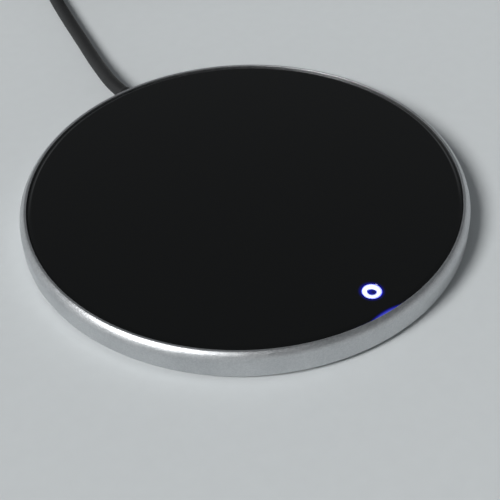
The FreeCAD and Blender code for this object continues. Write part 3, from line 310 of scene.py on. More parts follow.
def useGroup(tree, name, **values):
    node = tree.nodes.new("ShaderNodeGroup")
    node.node_tree = groups[name]
    for label, value in values.items():
        node.inputs[label].default_value = value
    return node.outputs


def newMaterial(name, **sockets):
    material = bpy.data.materials.new(name)
    material.use_nodes = True
    tree = material.node_tree
    shader = tree.nodes["Principled BSDF"]
    for label, value in sockets.items():
        shader.inputs[label.replace("_", " ")].default_value = value
    return material, tree, shader


def feed(shader, label, value):
    shader.id_data.links.new(value, shader.inputs[label])


def bump(tree, shader, height, depth, strength=1.0):
    node = addNode(tree, "Bump", {"Height": height, "Distance": depth, "Strength": strength})
    feed(shader, "Normal", node.outputs[0])


def toned(tree, share, colour, tone):
    # from a darker to a lighter tone of one colour
    dark, light = ((*(min(1.0, part * by) for part in colour[:3]), 1.0) for by in (1 - tone, 1 + tone))
    return blendColours(tree, share, dark, light)


def grained(name, colour, roughness, size, depth, tone=0.12, drift=0.012, vary=0.08, **sockets):
    # a moulded, cast, dipped or blasted finish: grain in height, tone and roughness
    material, tree, shader = newMaterial(name, **sockets)
    grain = useGroup(tree, "grain", Size=size, Drift=drift)
    quick, slow = times(tree, grain["Tone"], 0.6), times(tree, grain["Drift"], 0.4)
    mixed = plus(tree, quick, slow)
    feed(shader, "Base Color", toned(tree, mixed, colour, tone))
    feed(shader, "Roughness", spreadOver(tree, mixed, 0.0, 1.0, roughness - vary, roughness + vary))
    bump(tree, shader, grain["Height"], depth)
    return material


def rolled(name, colour, roughness, width, depth, tone=0.08, **sockets):
    # sheet metal with fine rolling lines
    material, tree, shader = newMaterial(name, Metallic=1.0, **sockets)
    lines = useGroup(tree, "brushed", Width=width)["Height"]
    share = spreadOver(tree, lines, 0.3, 0.7)
    feed(shader, "Base Color", toned(tree, share, colour, tone))
    feed(shader, "Roughness", spreadOver(tree, share, 0.0, 1.0, roughness - 0.06, roughness + 0.08))
    bump(tree, shader, lines, depth)
    return material


# Modelling helpers: lengths are in millimetres
weldReach = 0.002 * mm


def dressed(piece, material):
    piece.data.materials.clear()
    piece.data.materials.append(material)
    return piece


def activate(piece):
    deselectAll()
    piece.select_set(True)
    bpy.context.view_layer.objects.active = piece


def finishPiece(piece, name, material, body, angle=30.0):
    # without a material, the piece keeps those of its parts
    piece.name = name
    piece.data.name = name
    activate(piece)
    bpy.ops.object.transform_apply(location=True, rotation=True, scale=True)
    bpy.ops.object.shade_smooth_by_angle(angle=math.radians(angle))
    if material:
        dressed(piece, material)
    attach(piece, body)
    return piece


def applyModifier(piece, kind, **settings):
    activate(piece)
    modifier = piece.modifiers.new(kind.lower(), kind)
    for name, value in settings.items():
        setattr(modifier, name, value)
    bpy.ops.object.modifier_apply(modifier=modifier.name)
    return piece


def combine(piece, other, operation):
    applyModifier(piece, "BOOLEAN", object=other, operation=operation, solver="EXACT")
    bpy.data.objects.remove(other)
    return piece


def cut(piece, other):
    return combine(piece, other, "DIFFERENCE")


def softenEdges(piece, width, segments=2, angle=30.0):
    limit = {"limit_method": "ANGLE", "angle_limit": math.radians(angle)}
    return applyModifier(piece, "BEVEL", width=width * mm, segments=segments, **limit)


def arc(centre, radius, first, last, count):
    turns = [math.radians(first + (last - first) * i / count) for i in range(count + 1)]
    return [(centre[0] + radius * math.cos(turn), centre[1] + radius * math.sin(turn)) for turn in turns]


def drawnLine(corners):
    # edges from corner to corner, left in edit mode with all of them selected
    deselectAll()
    bpy.ops.mesh.primitive_plane_add(size=mm)
    piece = bpy.context.object
    setMode("EDIT")
    bpy.ops.mesh.merge(type="CENTER")
    bpy.ops.transform.translate(value=corners[0])
    for before, after in zip(corners, corners[1:]):
        bpy.ops.mesh.extrude_region_move(TRANSFORM_OT_translate={"value": after - before})
    bpy.ops.mesh.select_all(action="SELECT")
    bpy.ops.mesh.remove_doubles(threshold=weldReach)
    bpy.ops.mesh.select_all(action="SELECT")
    return piece


def turned(profile, steps=96, centre=(0.0, 0.0)):
    # a profile of (radius, height) spun about the upright axis
    onAxis = profile[0][0] == 0 and profile[-1][0] == 0
    corners = [Vector((centre[0] + out, centre[1], up)) * mm for out, up in profile]
    if not onAxis:
        corners.append(corners[0])
    piece = drawnLine(corners)
    middle = Vector((centre[0], centre[1], 0.0)) * mm
    bpy.ops.mesh.spin(steps=steps, angle=2 * math.pi, center=middle, axis=(0.0, 0.0, 1.0))
    bpy.ops.mesh.select_all(action="SELECT")
    bpy.ops.mesh.remove_doubles(threshold=weldReach)
    bpy.ops.mesh.normals_make_consistent(inside=False)
    setMode("OBJECT")
    return piece


def block(low, high):
    low, high = Vector(low), Vector(high)
    deselectAll()
    bpy.ops.mesh.primitive_cube_add(size=1.0, location=(low + high) / 2 * mm)
    piece = bpy.context.object
    piece.scale = (high - low) * mm
    bpy.ops.object.transform_apply(location=True, rotation=True, scale=True)
    return piece


def bevelEdges(piece, chosen, width, segments):
    # bevels the edges whose two ends pass the test
    activate(piece)
    setMode("EDIT")
    bpy.ops.mesh.select_mode(type="EDGE")
    bpy.ops.mesh.select_all(action="DESELECT")
    setMode("OBJECT")
    points = piece.data.vertices
    for edge in piece.data.edges:
        edge.select = chosen(*(points[i].co / mm for i in edge.vertices))
    setMode("EDIT")
    bpy.ops.mesh.bevel(offset=width * mm, segments=segments, affect="EDGES")
    bpy.ops.mesh.select_mode(type="VERT")
    setMode("OBJECT")
    return piece


def rod(start, end, radius, sides=48):
    start, end = Vector(start), Vector(end)
    deselectAll()
    bpy.ops.mesh.primitive_cylinder_add(
        vertices=sides,
        radius=radius * mm,
        depth=(end - start).length * mm,
        location=(start + end) / 2 * mm,
        rotation=(end - start).to_track_quat("Z", "Y").to_euler(),
    )
    bpy.ops.object.transform_apply(location=True, rotation=True, scale=True)
    return bpy.context.object


def band(line, half, cuts):
    # a strip drawn along a line of (y, z), as wide as twice its half
    corners = [Vector((-half, y, z)) * mm for y, z in line]
    piece = drawnLine(corners)
    step = (2 * half / cuts * mm, 0.0, 0.0)
    for _ in range(cuts):
        bpy.ops.mesh.extrude_region_move(TRANSFORM_OT_translate={"value": step})
    bpy.ops.mesh.select_all(action="SELECT")
    bpy.ops.mesh.normals_make_consistent(inside=False)
    setMode("OBJECT")
    return piece, corners


def moved(piece, matrix):
    activate(piece)
    piece.matrix_world = matrix @ piece.matrix_world
    bpy.ops.object.transform_apply(location=True, rotation=True, scale=True)
    return piece


def gathered(pieces):
    deselectAll()
    for piece in pieces:
        piece.select_set(True)
    bpy.context.view_layer.objects.active = pieces[0]
    bpy.ops.object.join()
    return pieces[0]


def aboutDisc(degrees):
    return Matrix.Rotation(math.radians(degrees), 4, "Z")


# Housing ring
rim = {
    "outer": 50.0,
    "top": 7.0,
    "low": 0.8,
    "bore": 47.4,
    "opening": 48.3,
    "edge": 0.12,
    "ledgeInner": 46.2,
    "ledgeTop": 5.0,
    "ledgeLow": 3.8,
    "shoulder": 2.6,
    "shoulderCentre": (47.4, 4.778),
    "shoulderTurn": 58.72,
    "baseRound": 0.8,
    "lugPlace": 42.2,
    "lugRadius": 2.8,
    "lugLow": 3.0,
    "lugTop": 4.9,
    "lugHole": 0.86,
    "lugHoleTop": 4.6,
    "lugOverlap": 0.4,
    "slotMiddle": 1.9,
    "slotHalf": 2.3,
    "slotBack": 40.0,
    "slotFront": 54.0,
    "slotLow": -1.5,
    "slotTop": 5.7,
    "slotRound": 0.998,
    "crease": 0.05,
    "steps": 240,
}
footTurns = (45.0, 135.0, 225.0, 315.0)


def rimMaterial():
    # bead-blasted and anodised: fine glittering pits over a satin ground
    material, tree, shader = newMaterial("blastedAluminium", Metallic=1.0)
    grain = useGroup(tree, "grain", Size=0.00022, Drift=0.011)
    pits = addNode(tree, "TexVoronoi", {"Vector": objectPlace(tree), "Scale": 3600.0}).outputs
    facet = addNode(tree, "SeparateColor", {0: pits["Color"]}).outputs[0]
    slow = times(tree, grain["Drift"], 0.45)
    tone = plus(tree, times(tree, facet, 0.55), slow)
    colour = blendColours(tree, tone, (0.48, 0.495, 0.51, 1.0), (0.64, 0.65, 0.66, 1.0))
    feed(shader, "Base Color", colour)
    feed(shader, "Roughness", spreadOver(tree, facet, 0.0, 1.0, 0.34, 0.46))
    bump(tree, shader, plus(tree, pits["Distance"], grain["Height"]), 0.000028, 0.8)
    return material


def addRim():
    size = rim
    shoulder = arc(size["shoulderCentre"], size["shoulder"], 0.0, size["shoulderTurn"], 14)
    low, base = size["low"], size["baseRound"]
    heel = arc((size["outer"] - base, low + base), base, -90.0, 0.0, 6)
    edge = size["edge"]
    lip = arc((size["opening"] + edge, size["top"] - edge), edge, 90.0, 180.0, 4)
    profile = [(size["bore"], low)] + heel + shoulder + lip
    profile += [(size["opening"], size["ledgeTop"]), (size["ledgeInner"], size["ledgeTop"])]
    profile += [(size["ledgeInner"], size["ledgeLow"]), (size["bore"], size["ledgeLow"])]
    ring = turned(profile, size["steps"])
    softenEdges(ring, size["crease"], 2, 25.0)
    place, radius, low, top = (size[name] for name in ("lugPlace", "lugRadius", "lugLow", "lugTop"))
    for turn in footTurns:
        lug = block((place, -radius, low), (size["bore"] + size["lugOverlap"], radius, top))
        combine(lug, rod((place, 0.0, low), (place, 0.0, top), radius), "UNION")
        combine(ring, moved(lug, aboutDisc(turn)), "UNION")
        hole = rod((place, 0.0, low - 1.0), (place, 0.0, size["lugHoleTop"]), size["lugHole"], 24)
        cut(ring, moved(hole, aboutDisc(turn)))
    middle, half = size["slotMiddle"], size["slotHalf"]
    corner = (middle - half, size["slotBack"], size["slotLow"])
    slot = block(corner, (middle + half, size["slotFront"], size["slotTop"]))
    rounded = half * size["slotRound"]
    bevelEdges(slot, lambda a, b: a.z > 5 and b.z > 5 and abs(a.x - b.x) < 0.01, rounded, 16)
    cut(ring, slot)
    finishPiece(ring, "housing_rim", rimMaterial(), "root", 24.0)
    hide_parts("housing_ring")


addRim()
print("rim made")

# Light of the button: white-hot ring, blue at its edges, and painted blue glow in the glass, along the bevel
# and on the dark core
glow = {
    "shift": -0.12,
    "reach": 2.85,
    "darkPlace": (-0.12, -42.05),
    "darkRadius": 1.12,
    "middle": -1.8,
    "half": 4.7,
    "tailMiddle": -3.0,
    "tailHalf": 8.0,
    "tailShare": 0.12,
    "whiteRadius": 1.50,
    "blueRadius": 1.92,
    "darkBlur": 0.08,
    "corePlace": (0.30, -42.0),
    "none": (0.0, 0.0, 0.0, 1.0),
    "deep": (0.0, 0.001, 0.26, 1.0),
    "violet": (0.070, 0.085, 0.64, 1.0),
    "edge": (0.05, 0.06, 1.0, 1.0),
    "white": (0.82, 1.0, 1.0, 1.0),
}

# Glass plate
glass = {
    "radius": 48.15,
    "top": 6.85,
    "low": 5.15,
    "bevelAcross": 0.9,
    "bevelDown": 0.4,
    "chamfer": 0.2,
    "flat": 0.15,
    "steps": 240,
    "buttonPlace": -41.9,
    "holeRadius": 2.1,
    "holeEdge": 0.05,
    "crease": 0.045,
}


def glassMaterial():
    # black-backed glass, with a painted blue glow of the button round its hole and a painted blue streak of
    # its light along the front bevel
    material, tree, shader = newMaterial("blackGlass", Roughness=0.05, IOR=1.5, Emission_Strength=1.0)
    marks = useGroup(tree, "smudge", Spread=0.03)
    tint = blendColours(tree, marks["Dust"], (0.0016, 0.0019, 0.0019, 1.0), (0.012, 0.0125, 0.0125, 1.0))
    feed(shader, "Base Color", tint)
    feed(shader, "Roughness", spreadOver(tree, marks["Smudge"], 0.0, 1.0, 0.045, 0.13))
    parts = placeParts(tree)
    # painted glow: blue emission on the glass, fading out from the button's hole
    away = distance(tree, parts, (glow["shift"], glass["buttonPlace"]))
    halo = calc(tree, "POWER", spreadOver(tree, away, 2.0 * mm, glow["reach"] * mm, 1.0, 0.0), 1.6)
    paintedGlow = blendColours(tree, halo, glow["none"], glow["deep"])
    # painted reflection of the ring's light: a lens-shaped blue streak emitted along the front of the bevel,
    # with a faint violet tail
    radius = distance(tree, parts, (0.0, 0.0))
    outer = glass["radius"] * mm
    inward = spreadOver(tree, radius, outer, outer - glass["bevelAcross"] * mm)
    front = spreadOver(tree, parts[1], -0.030, -0.040)
    humps = []
    for middle, half in ((glow["middle"], glow["half"]), (glow["tailMiddle"], glow["tailHalf"])):
        along = calc(tree, "DIVIDE", less(tree, parts[0], middle * mm), half * mm)
        hump = calc(tree, "SUBTRACT", 1.0, times(tree, along, along), clamp=True)
        humps.append(times(tree, hump, front))
    edge = less(tree, times(tree, humps[0], 0.9), inward)
    core = spreadOver(tree, edge, 0.25, 0.8)
    streak = blendColours(tree, core, glow["deep"], glow["violet"])
    streak = blendColours(tree, spreadOver(tree, edge, 0.0, 0.4), glow["none"], streak)
    tail = times(tree, humps[1], spreadOver(tree, inward, 0.0, 0.35, 1.0, 0.0))
    streak = blendColours(tree, times(tree, tail, glow["tailShare"]), streak, glow["violet"])
    # the painted glow and the painted streak are added together as the glass's emission
    lit = addNode(tree, "Mix", data_type="RGBA", blend_type="ADD")
    lit.inputs[0].default_value = 1.0
    tree.links.new(paintedGlow, lit.inputs[6])
    tree.links.new(streak, lit.inputs[7])
    feed(shader, "Emission Color", lit.outputs[2])
    return material


def addGlass():
    size = glass
    outer, low, top = size["radius"], size["low"], size["top"]
    chamfer, bevel, flat = size["chamfer"], size["bevelAcross"], size["flat"]
    profile = [
        (0.0, low),
        (outer - chamfer - flat, low),
        (outer - chamfer, low),
        (outer, low + chamfer),
        (outer, top - size["bevelDown"]),
        (outer - bevel, top),
        (outer - bevel - flat, top),
        (0.0, top),
    ]
    plate = turned(profile, size["steps"])
    softenEdges(plate, size["crease"], 2, 15.0)
    radius, wide = size["holeRadius"], size["holeRadius"] + size["holeEdge"]
    bottom, above = low - 0.65, top + 0.6
    profile = [(0.0, bottom), (radius, bottom), (radius, top - size["holeEdge"])]
    profile += [(wide, top), (wide, above), (0.0, above)]
    cut(plate, turned(profile, 96, (0.0, size["buttonPlace"])))
    finishPiece(plate, "plate", glassMaterial(), "root", 11.0)
    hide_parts("glass_plate")


addGlass()
print("glass plate made")

# Button: lit ring and its dark core, and the snap dome under them
button = {
    "place": (0.0, -41.9),
    "ringInner": 0.95,
    "ringOuter": 2.02,
    "ringTop": 6.82,
    "flange": 3.0,
    "flangeLow": 4.75,
    "flangeTop": 5.1,
    "edge": 0.05,
    "coreRadius": 0.93,
    "coreRecess": 0.34,
    "coreDish": 0.05,
    "stemRadius": 1.6,
    "stemLow": 4.55,
    "domeRadius": 1.5,
    "domeLow": 3.78,
    "domeTop": 4.06,
    "domeThick": 0.06,
    "domeKeep": 0.29,
}


def ringMaterial():
    # light pipe, blue only at its outer edge
    material, tree, shader = newMaterial(
        "litRing", Base_Color=(0.75, 0.8, 0.95, 1.0), Roughness=0.2, Emission_Strength=1.15
    )
    parts = placeParts(tree)
    away = distance(tree, parts, (glow["shift"], button["place"][1]))
    grain = useGroup(tree, "grain", Size=0.0002, Drift=0.0012)
    white = spreadOver(tree, away, glow["blueRadius"] * mm, glow["whiteRadius"] * mm)
    white = times(tree, white, spreadOver(tree, grain["Drift"], 0.0, 1.0, 0.9, 1.0))
    colour = blendColours(tree, white, glow["edge"], glow["white"])
    inside = distance(tree, parts, glow["darkPlace"])
    start, end = (glow["darkRadius"] + blur for blur in (-glow["darkBlur"], glow["darkBlur"]))
    lit = spreadOver(tree, inside, start * mm, end * mm)
    feed(shader, "Emission Color", blendColours(tree, lit, glow["deep"], colour))
    bump(tree, shader, grain["Height"], 0.000004)
    return material


def coreMaterial():
    # polished black, with a painted blue glow of the ring on it
    material, tree, shader = newMaterial(
        "polishedCore", Base_Color=(0.006, 0.007, 0.010, 1.0), Emission_Strength=1.0
    )
    grain = useGroup(tree, "grain", Size=0.0003, Drift=0.002)
    feed(shader, "Roughness", spreadOver(tree, grain["Tone"], 0.0, 1.0, 0.12, 0.22))
    parts = placeParts(tree)
    # painted glow: dim blue emission all over, brighter away from the middle of the face and towards the ring
    away = spreadOver(tree, distance(tree, parts, glow["corePlace"]), 0.1 * mm, 1.2 * mm)
    share = times(tree, away, spreadOver(tree, parts[2], 6.0 * mm, 6.2 * mm))
    colour = blendColours(tree, share, (0.0, 0.0, 0.07, 1.0), (0.003, 0.01, 0.50, 1.0))
    feed(shader, "Emission Color", colour)
    bump(tree, shader, grain["Height"], 0.000002)
    return material


def addButton():
    size = button
    centre, edge, top = size["place"], size["edge"], size["ringTop"]
    inner, outer, wide = size["ringInner"], size["ringOuter"], size["flange"]
    low, step = size["flangeLow"], size["flangeTop"]
    profile = [
        (inner, low),
        (wide - edge, low),
        (wide, low + edge),
        (wide, step - edge),
        (wide - edge, step),
        (outer + edge, step),
        (outer, step + edge),
        (outer, top - 2 * edge),
        (outer - 0.4 * edge, top - 0.8 * edge),
        (outer - 1.4 * edge, top - 0.2 * edge),
        (outer - 3 * edge, top),
        (inner + 3 * edge, top),
        (inner + 1.4 * edge, top - 0.6 * edge),
        (inner, top - 2 * edge),
    ]
    ring = turned(profile, 72, centre)
    finishPiece(ring, "button_ring", ringMaterial(), "button")
    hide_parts("light_ring")
    face = top - size["coreRecess"]
    core, stem, bottom = size["coreRadius"], size["stemRadius"], size["stemLow"]
    profile = [
        (0.0, bottom),
        (stem - edge, bottom),
        (stem, bottom + edge),
        (stem, low),
        (core, low),
        (core, face - edge),
        (core - 0.4 * edge, face - 0.3 * edge),
    ]
    for i in range(1, 7):
        sunk = size["coreDish"] * math.sin(math.pi / 2 * i / 6)
        profile.append((core * (1 - i / 6), face - edge * 0.3 - sunk))
    core = turned(profile, 60, centre)
    finishPiece(core, "button_core", coreMaterial(), "button")
    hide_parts("button_cap")
    rise = size["domeTop"] - size["domeLow"]
    outside = (size["domeRadius"] ** 2 + rise ** 2) / 2 / rise
    reach = math.degrees(math.asin(size["domeRadius"] / outside))
    inner = size["domeRadius"] - 4 * size["domeThick"]
    innerRise = rise - size["domeThick"]
    inside = (inner ** 2 + innerRise ** 2) / 2 / innerRise
    innerReach = math.degrees(math.asin(inner / inside))
    upper = arc((0.0, size["domeTop"] - outside), outside, 90.0 - reach, 90.0, 10)
    lower = arc((0.0, size["domeTop"] - size["domeThick"] - inside), inside, 90.0, 90.0 - innerReach, 10)
    upper[-1], lower[0] = (0.0, upper[-1][1]), (0.0, lower[0][1])
    dome = turned(lower + upper, 60, centre)
    steel = rolled("domeSteel", (0.66, 0.66, 0.67), 0.24, 0.00006, 0.000002)
    finishPiece(dome, "snap_dome", steel, "root")
    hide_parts("switch_dome")
    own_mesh(dome)


addButton()
print("button made")

# Strain relief in the rim's slot
relief = {
    "middle": 1.9,
    "axis": 3.4,
    "half": 2.24,
    "neckHalf": 1.66,
    "flangeHalf": 4.0,
    "flangeBack": 44.47,
    "flangeFront": 45.77,
    "face": 49.1,
    "mouth": 52.4,
    "mouthRadius": 1.94,
    "bodyLow": 2.05,
    "bodyTop": 4.9,
    "bodyFront": 48.4,
    "skirtBack": 47.45,
    "skirtLow": 0.85,
    "ribs": (0.75, 1.45, 2.15),
    "ribLength": 0.32,
    "ribDepth": 0.17,
}


def addRelief():
    size = relief
    middle, axis, half, neck = size["middle"], size["axis"], size["half"], size["neckHalf"]
    face, low, top, front = size["face"], size["bodyLow"], size["bodyTop"], size["bodyFront"]
    back = size["flangeFront"] - 0.05
    body = block((middle - half, back, low), (middle + half, front - 0.1, axis))
    flange = (middle - size["flangeHalf"], size["flangeBack"], low)
    parts = [
        block((middle - half, size["skirtBack"], size["skirtLow"]), (middle + half, face, axis)),
        block((middle - neck, back, axis - 0.05), (middle + neck, front, top)),
        block(flange, (middle + size["flangeHalf"], size["flangeFront"], top)),
        rod((middle, front, axis), (middle, face, axis), half),
    ]
    for part in parts:
        combine(body, part, "UNION")
    length, mouth, deep = size["mouth"] - face, size["mouthRadius"], size["ribDepth"]
    taper = (half - mouth) / length
    profile = [(0.0, -0.4), (half, -0.4), (half, 0.0)]
    for start in size["ribs"]:
        end = start + size["ribLength"]
        near, far = half - taper * start, half - taper * end
        profile += [(near, start), (near - deep, start + 0.07), (far - deep, end - 0.07), (far, end)]
    profile += [(mouth + 0.02, length - 0.12), (mouth - 0.1, length), (0.0, length)]
    collar = turned(profile, 64)
    softenEdges(collar, 0.05, 2, 25.0)
    place = Matrix.Translation(Vector((middle, face, axis)) * mm)
    moved(collar, place @ Matrix.Rotation(math.radians(-90), 4, "X"))
    body = gathered([body, collar])
    rubber = grained("reliefRubber", (0.012, 0.0125, 0.013), 0.52, 0.0004, 0.000012)
    finishPiece(body, "strain_relief", rubber, "root")
    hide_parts("cord_grommet")


addRelief()

# Feet
foot = {
    "place": 42.2,
    "radius": 4.2,
    "top": 1.2,
    "round": 0.35,
    "dish": 0.12,
    "dishRadius": 2.6,
    "slope": 0.3,
}


def addFeet():
    size = foot
    radius, top, dish, reach = size["radius"], size["top"], size["dish"], size["dishRadius"]
    profile = [(0.0, dish), (reach, dish), (reach + size["slope"], 0.0)]
    profile += arc((radius - size["round"], size["round"]), size["round"], -90.0, 0.0, 5)
    profile += [(radius, top - 0.05), (radius - 0.05, top), (0.0, top)]
    pads = [moved(turned(profile, 64, (size["place"], 0.0)), aboutDisc(turn)) for turn in footTurns]
    silicone = grained("footSilicone", (0.04, 0.04, 0.042), 0.62, 0.0005, 0.00001)
    feet = finishPiece(gathered(pads), "rubber_feet", silicone, "root")
    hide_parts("feet")


addFeet()
print("strain relief and feet made")

# Tie round the coil, in a frame with x across it, y out through the coil and z up
tie = {
    "half": 3.5,
    "near": 15.54,
    "far": 32.23,
    "low": 0.02,
    "top": 8.02,
    "corner": 1.5,
    "thick": 0.4,
    "sag": 0.1,
    "pitch": 3.95,
    "flapStart": 19.5,
    "flapEnd": 30.2,
    "flapRise": 0.2,
    "flapSteps": 16,
    "out": 28.8,
    "loopAcross": 0.00042,
    "loopAlong": 0.00056,
    "dark": (0.010, 0.010, 0.011, 1.0),
    "light": (0.052, 0.052, 0.055, 1.0),
}


def tieFabric():
    # hook-and-loop strap: rows of tiny loops along it, from the strap's own map
    material, tree, shader = newMaterial(
        "tieFabric", Roughness=0.85, Sheen_Weight=0.35, Sheen_Roughness=0.5
    )
    chart = addNode(tree, "UVMap", uv_map="strap").outputs[0]
    parts = addNode(tree, "SeparateXYZ", {0: chart}).outputs
    across = calc(tree, "SINE", times(tree, parts[0], 2 * math.pi / tie["loopAcross"]))
    along = calc(tree, "SINE", times(tree, parts[1], 2 * math.pi / tie["loopAlong"]))
    weave = times(tree, times(tree, across, along), 0.35)
    height = plus(tree, weave, noise(tree, objectPlace(tree), 5200.0, 3.0))
    share = spreadOver(tree, height, 0.2, 0.95)
    feed(shader, "Base Color", blendColours(tree, share, tie["dark"], tie["light"]))
    bump(tree, shader, height, 0.00012)
    return material


def addTie():
    size = tie
    corner, low, top = size["corner"], size["low"], size["top"]
    near, far = size["near"] - size["thick"], size["far"] + size["thick"]
    path = []
    for centre, first in (
        ((near + corner, low + corner), 180.0),
        ((far - corner, low + corner), 270.0),
        ((far - corner, top - corner), 0.0),
        ((near + corner, top - corner), 90.0),
    ):
        path += arc(centre, corner, first, first + 90.0, 7)
    smooth = []
    for start, end in zip(path, path[1:] + path[:1]):
        pieces = 14 if math.dist(start, end) > 8 else (4 if math.dist(start, end) > 2 else 1)
        for i in range(pieces):
            share = i / pieces
            y, z = (a + (b - a) * share for a, b in zip(start, end))
            if z > top - 0.01 and pieces > 4:
                z -= size["sag"] * math.sin(math.pi * (y - near) / size["pitch"]) ** 2
            smooth.append((y, z))
    length, count = size["flapEnd"] - size["flapStart"], size["flapSteps"]
    flap = [(size["flapEnd"] - length * i / count, top + size["flapRise"]) for i in range(count + 1)]
    layers = []
    for line, closed in ((smooth, True), (flap, False)):
        layer, corners = band(line + line[:1] if closed else line, size["half"], 7)
        lengths = [0.0]
        for before, after in zip(corners, corners[1:]):
            lengths.append(lengths[-1] + (after - before).length)
        chart = layer.data.uv_layers.new(name="strap")
        places = {}
        for point, length in zip(corners, lengths):
            places.setdefault((round(point.y, 6), round(point.z, 6)), length)
        for loop in layer.data.loops:
            point = layer.data.vertices[loop.vertex_index].co
            chart.data[loop.index].uv = (point.x, places[(round(point.y, 6), round(point.z, 6))])
        thick = size["thick"] * mm * (0.98 if closed else 0.9)
        applyModifier(layer, "SOLIDIFY", thickness=thick, offset=-1.0 if closed else 0.0)
        layers.append(layer)
    strap = gathered(layers)
    softenEdges(strap, 0.07, 2, 50.0)
    heading = math.atan2(rightward.y, rightward.x)
    base = coilEntry + rightward * size["out"]
    moved(strap, Matrix.Translation(base * mm) @ Matrix.Rotation(heading, 4, "Z"))
    finishPiece(strap, "tie_strap", tieFabric(), "root", 40.0)
    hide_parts("cord_tie")
    return strap


strap = addTie()
print("tie made")

# Plug, made along x from the cord's end
plug = {
    "bootLength": 9.0,
    "bootStart": 2.3,
    "bootEnd": 3.2,
    "gripLength": 22.0,
    "gripWidth": 15.6,
    "gripHeight": 7.5,
    "gripCorner": 2.2,
    "gripEdge": 0.7,
    "shellLength": 12.0,
    "shellSink": 3.0,
    "shellWidth": 12.0,
    "shellHeight": 4.5,
    "wall": 0.3,
    "shellCorner": 0.5,
    "window": 2.3,
    "windowPlace": 6.2,
    "windowStep": 2.55,
    "tongueThick": 1.84,
    "tongueBack": 0.5,
    "contactThick": 0.12,
    "contactLength": 8.0,
    "contactHalf": 0.5,
    "contacts": ((-3.5, 1.0), (-1.0, 2.0), (1.0, 2.0), (3.5, 1.0)),
    "ribs": (1.3, 2.9, 4.5, 6.1),
    "ribLength": 0.8,
    "ribDepth": 0.45,
    "grooves": 5,
    "grooveStart": 3.4,
    "groovePitch": 1.7,
    "grooveHalf": 0.35,
    "grooveEnd": 1.9,
    "thumbHalf": 4.6,
    "thumbCorner": 2.4,
    "thumbDepth": 0.28,
    "gap": 0.05,
    "seamHalf": 0.04,
}
plugPlace = Matrix.Translation(plugStart * mm) @ Matrix.Rotation(math.atan2(rightward.y, rightward.x), 4, "Z")
alongX = Matrix.Rotation(math.radians(90), 4, "Y")


def isLengthwise(a, b):
    return abs(a.x - b.x) > 1


def addBoot(rubber):
    size = plug
    start, end, length, deep = size["bootStart"], size["bootEnd"], size["bootLength"], size["ribDepth"]
    slope = (end - start) / length
    profile = [(0.0, 0.0), (start - 0.2, 0.0), (start, 0.25)]
    for first in size["ribs"]:
        last = first + size["ribLength"]
        near, far = (start + slope * along for along in (first, last))
        profile += [(near, first), (near - deep, first + 0.12), (far - deep, last - 0.12), (far, last)]
    boot = turned(profile + [(end, length), (0.0, length)], 64)
    softenEdges(boot, 0.12, 2, 25.0)
    moved(boot, plugPlace @ alongX)
    finishPiece(boot, "plug_relief", rubber, "root")
    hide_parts("plug_boot")
    return boot


def addGrip(rubber, start, end):
    size = plug
    half, rise = size["gripWidth"] / 2, size["gripHeight"] / 2
    grip = block((start, -half, -rise), (end, half, rise))
    bevelEdges(grip, isLengthwise, size["gripCorner"], 8)
    bevelEdges(
        grip,
        lambda a, b: abs(a.x - b.x) < 0.01 and min(abs(a.x - start), abs(a.x - end)) < 0.01,
        size["gripEdge"],
        4,
    )
    reach, inset = size["grooveHalf"], size["grooveEnd"]
    for i in range(size["grooves"]):
        across = start + size["grooveStart"] + size["groovePitch"] * i
        for side in (-1, 1):
            corner = (across - reach, side * (half - 0.32), -rise + inset)
            groove = block(corner, (across + reach, side * (half + 0.5), rise - inset))
            bevelEdges(groove, lambda a, b: abs(a.z - b.z) < 0.01 and abs(a.y - b.y) > 0.1, 0.3, 3)
            cut(grip, groove)
    corner = (start + 4.5, -size["thumbHalf"], rise - size["thumbDepth"])
    thumb = block(corner, (end - 4.0, size["thumbHalf"], rise + 1.0))
    bevelEdges(thumb, lambda a, b: abs(a.z - b.z) > 0.5, size["thumbCorner"], 8)
    cut(grip, thumb)
    gap = size["gap"]
    half, rise = size["shellWidth"] / 2 + gap, size["shellHeight"] / 2 + gap
    room = block((end - size["shellSink"], -half, -rise), (end + 1.0, half, rise))
    bevelEdges(room, isLengthwise, size["shellCorner"] + gap, 5)
    cut(grip, room)
    softenEdges(grip, 0.1, 2, 35.0)
    moved(grip, plugPlace)
    finishPiece(grip, "plug_body", rubber, "root")
    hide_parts("plug_grip")
    return grip


def addShell(start, mouth):
    size = plug
    half, rise, wall = size["shellWidth"] / 2, size["shellHeight"] / 2, size["wall"]
    shell = block((start, -half, -rise), (mouth, half, rise))
    bevelEdges(shell, isLengthwise, size["shellCorner"], 6)
    hollow = block((start - 1.0, -half + wall, -rise + wall), (mouth + 1.0, half - wall, rise - wall))
    bevelEdges(hollow, isLengthwise, size["shellCorner"] - wall, 6)
    cut(shell, hollow)
    reach = size["window"] / 2
    for side in (-1, 1):
        along, across = mouth - size["windowPlace"], side * size["windowStep"]
        window = block((along - reach, across - reach, -5.0), (along + reach, across + reach, 5.0))
        cut(shell, window)
    seam = size["seamHalf"]
    seam = block((start - 1.0, -seam, -rise - 0.5), (mouth + 1.0, seam, -rise + 0.16))
    cut(shell, seam)
    softenEdges(shell, 0.05, 2, 40.0)
    moved(shell, plugPlace)
    steel = rolled("plugSteel", (0.70, 0.70, 0.71), 0.22, 0.0001, 0.000003)
    finishPiece(shell, "plug_shield", steel, "root")
    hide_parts("plug_shell")
    return shell


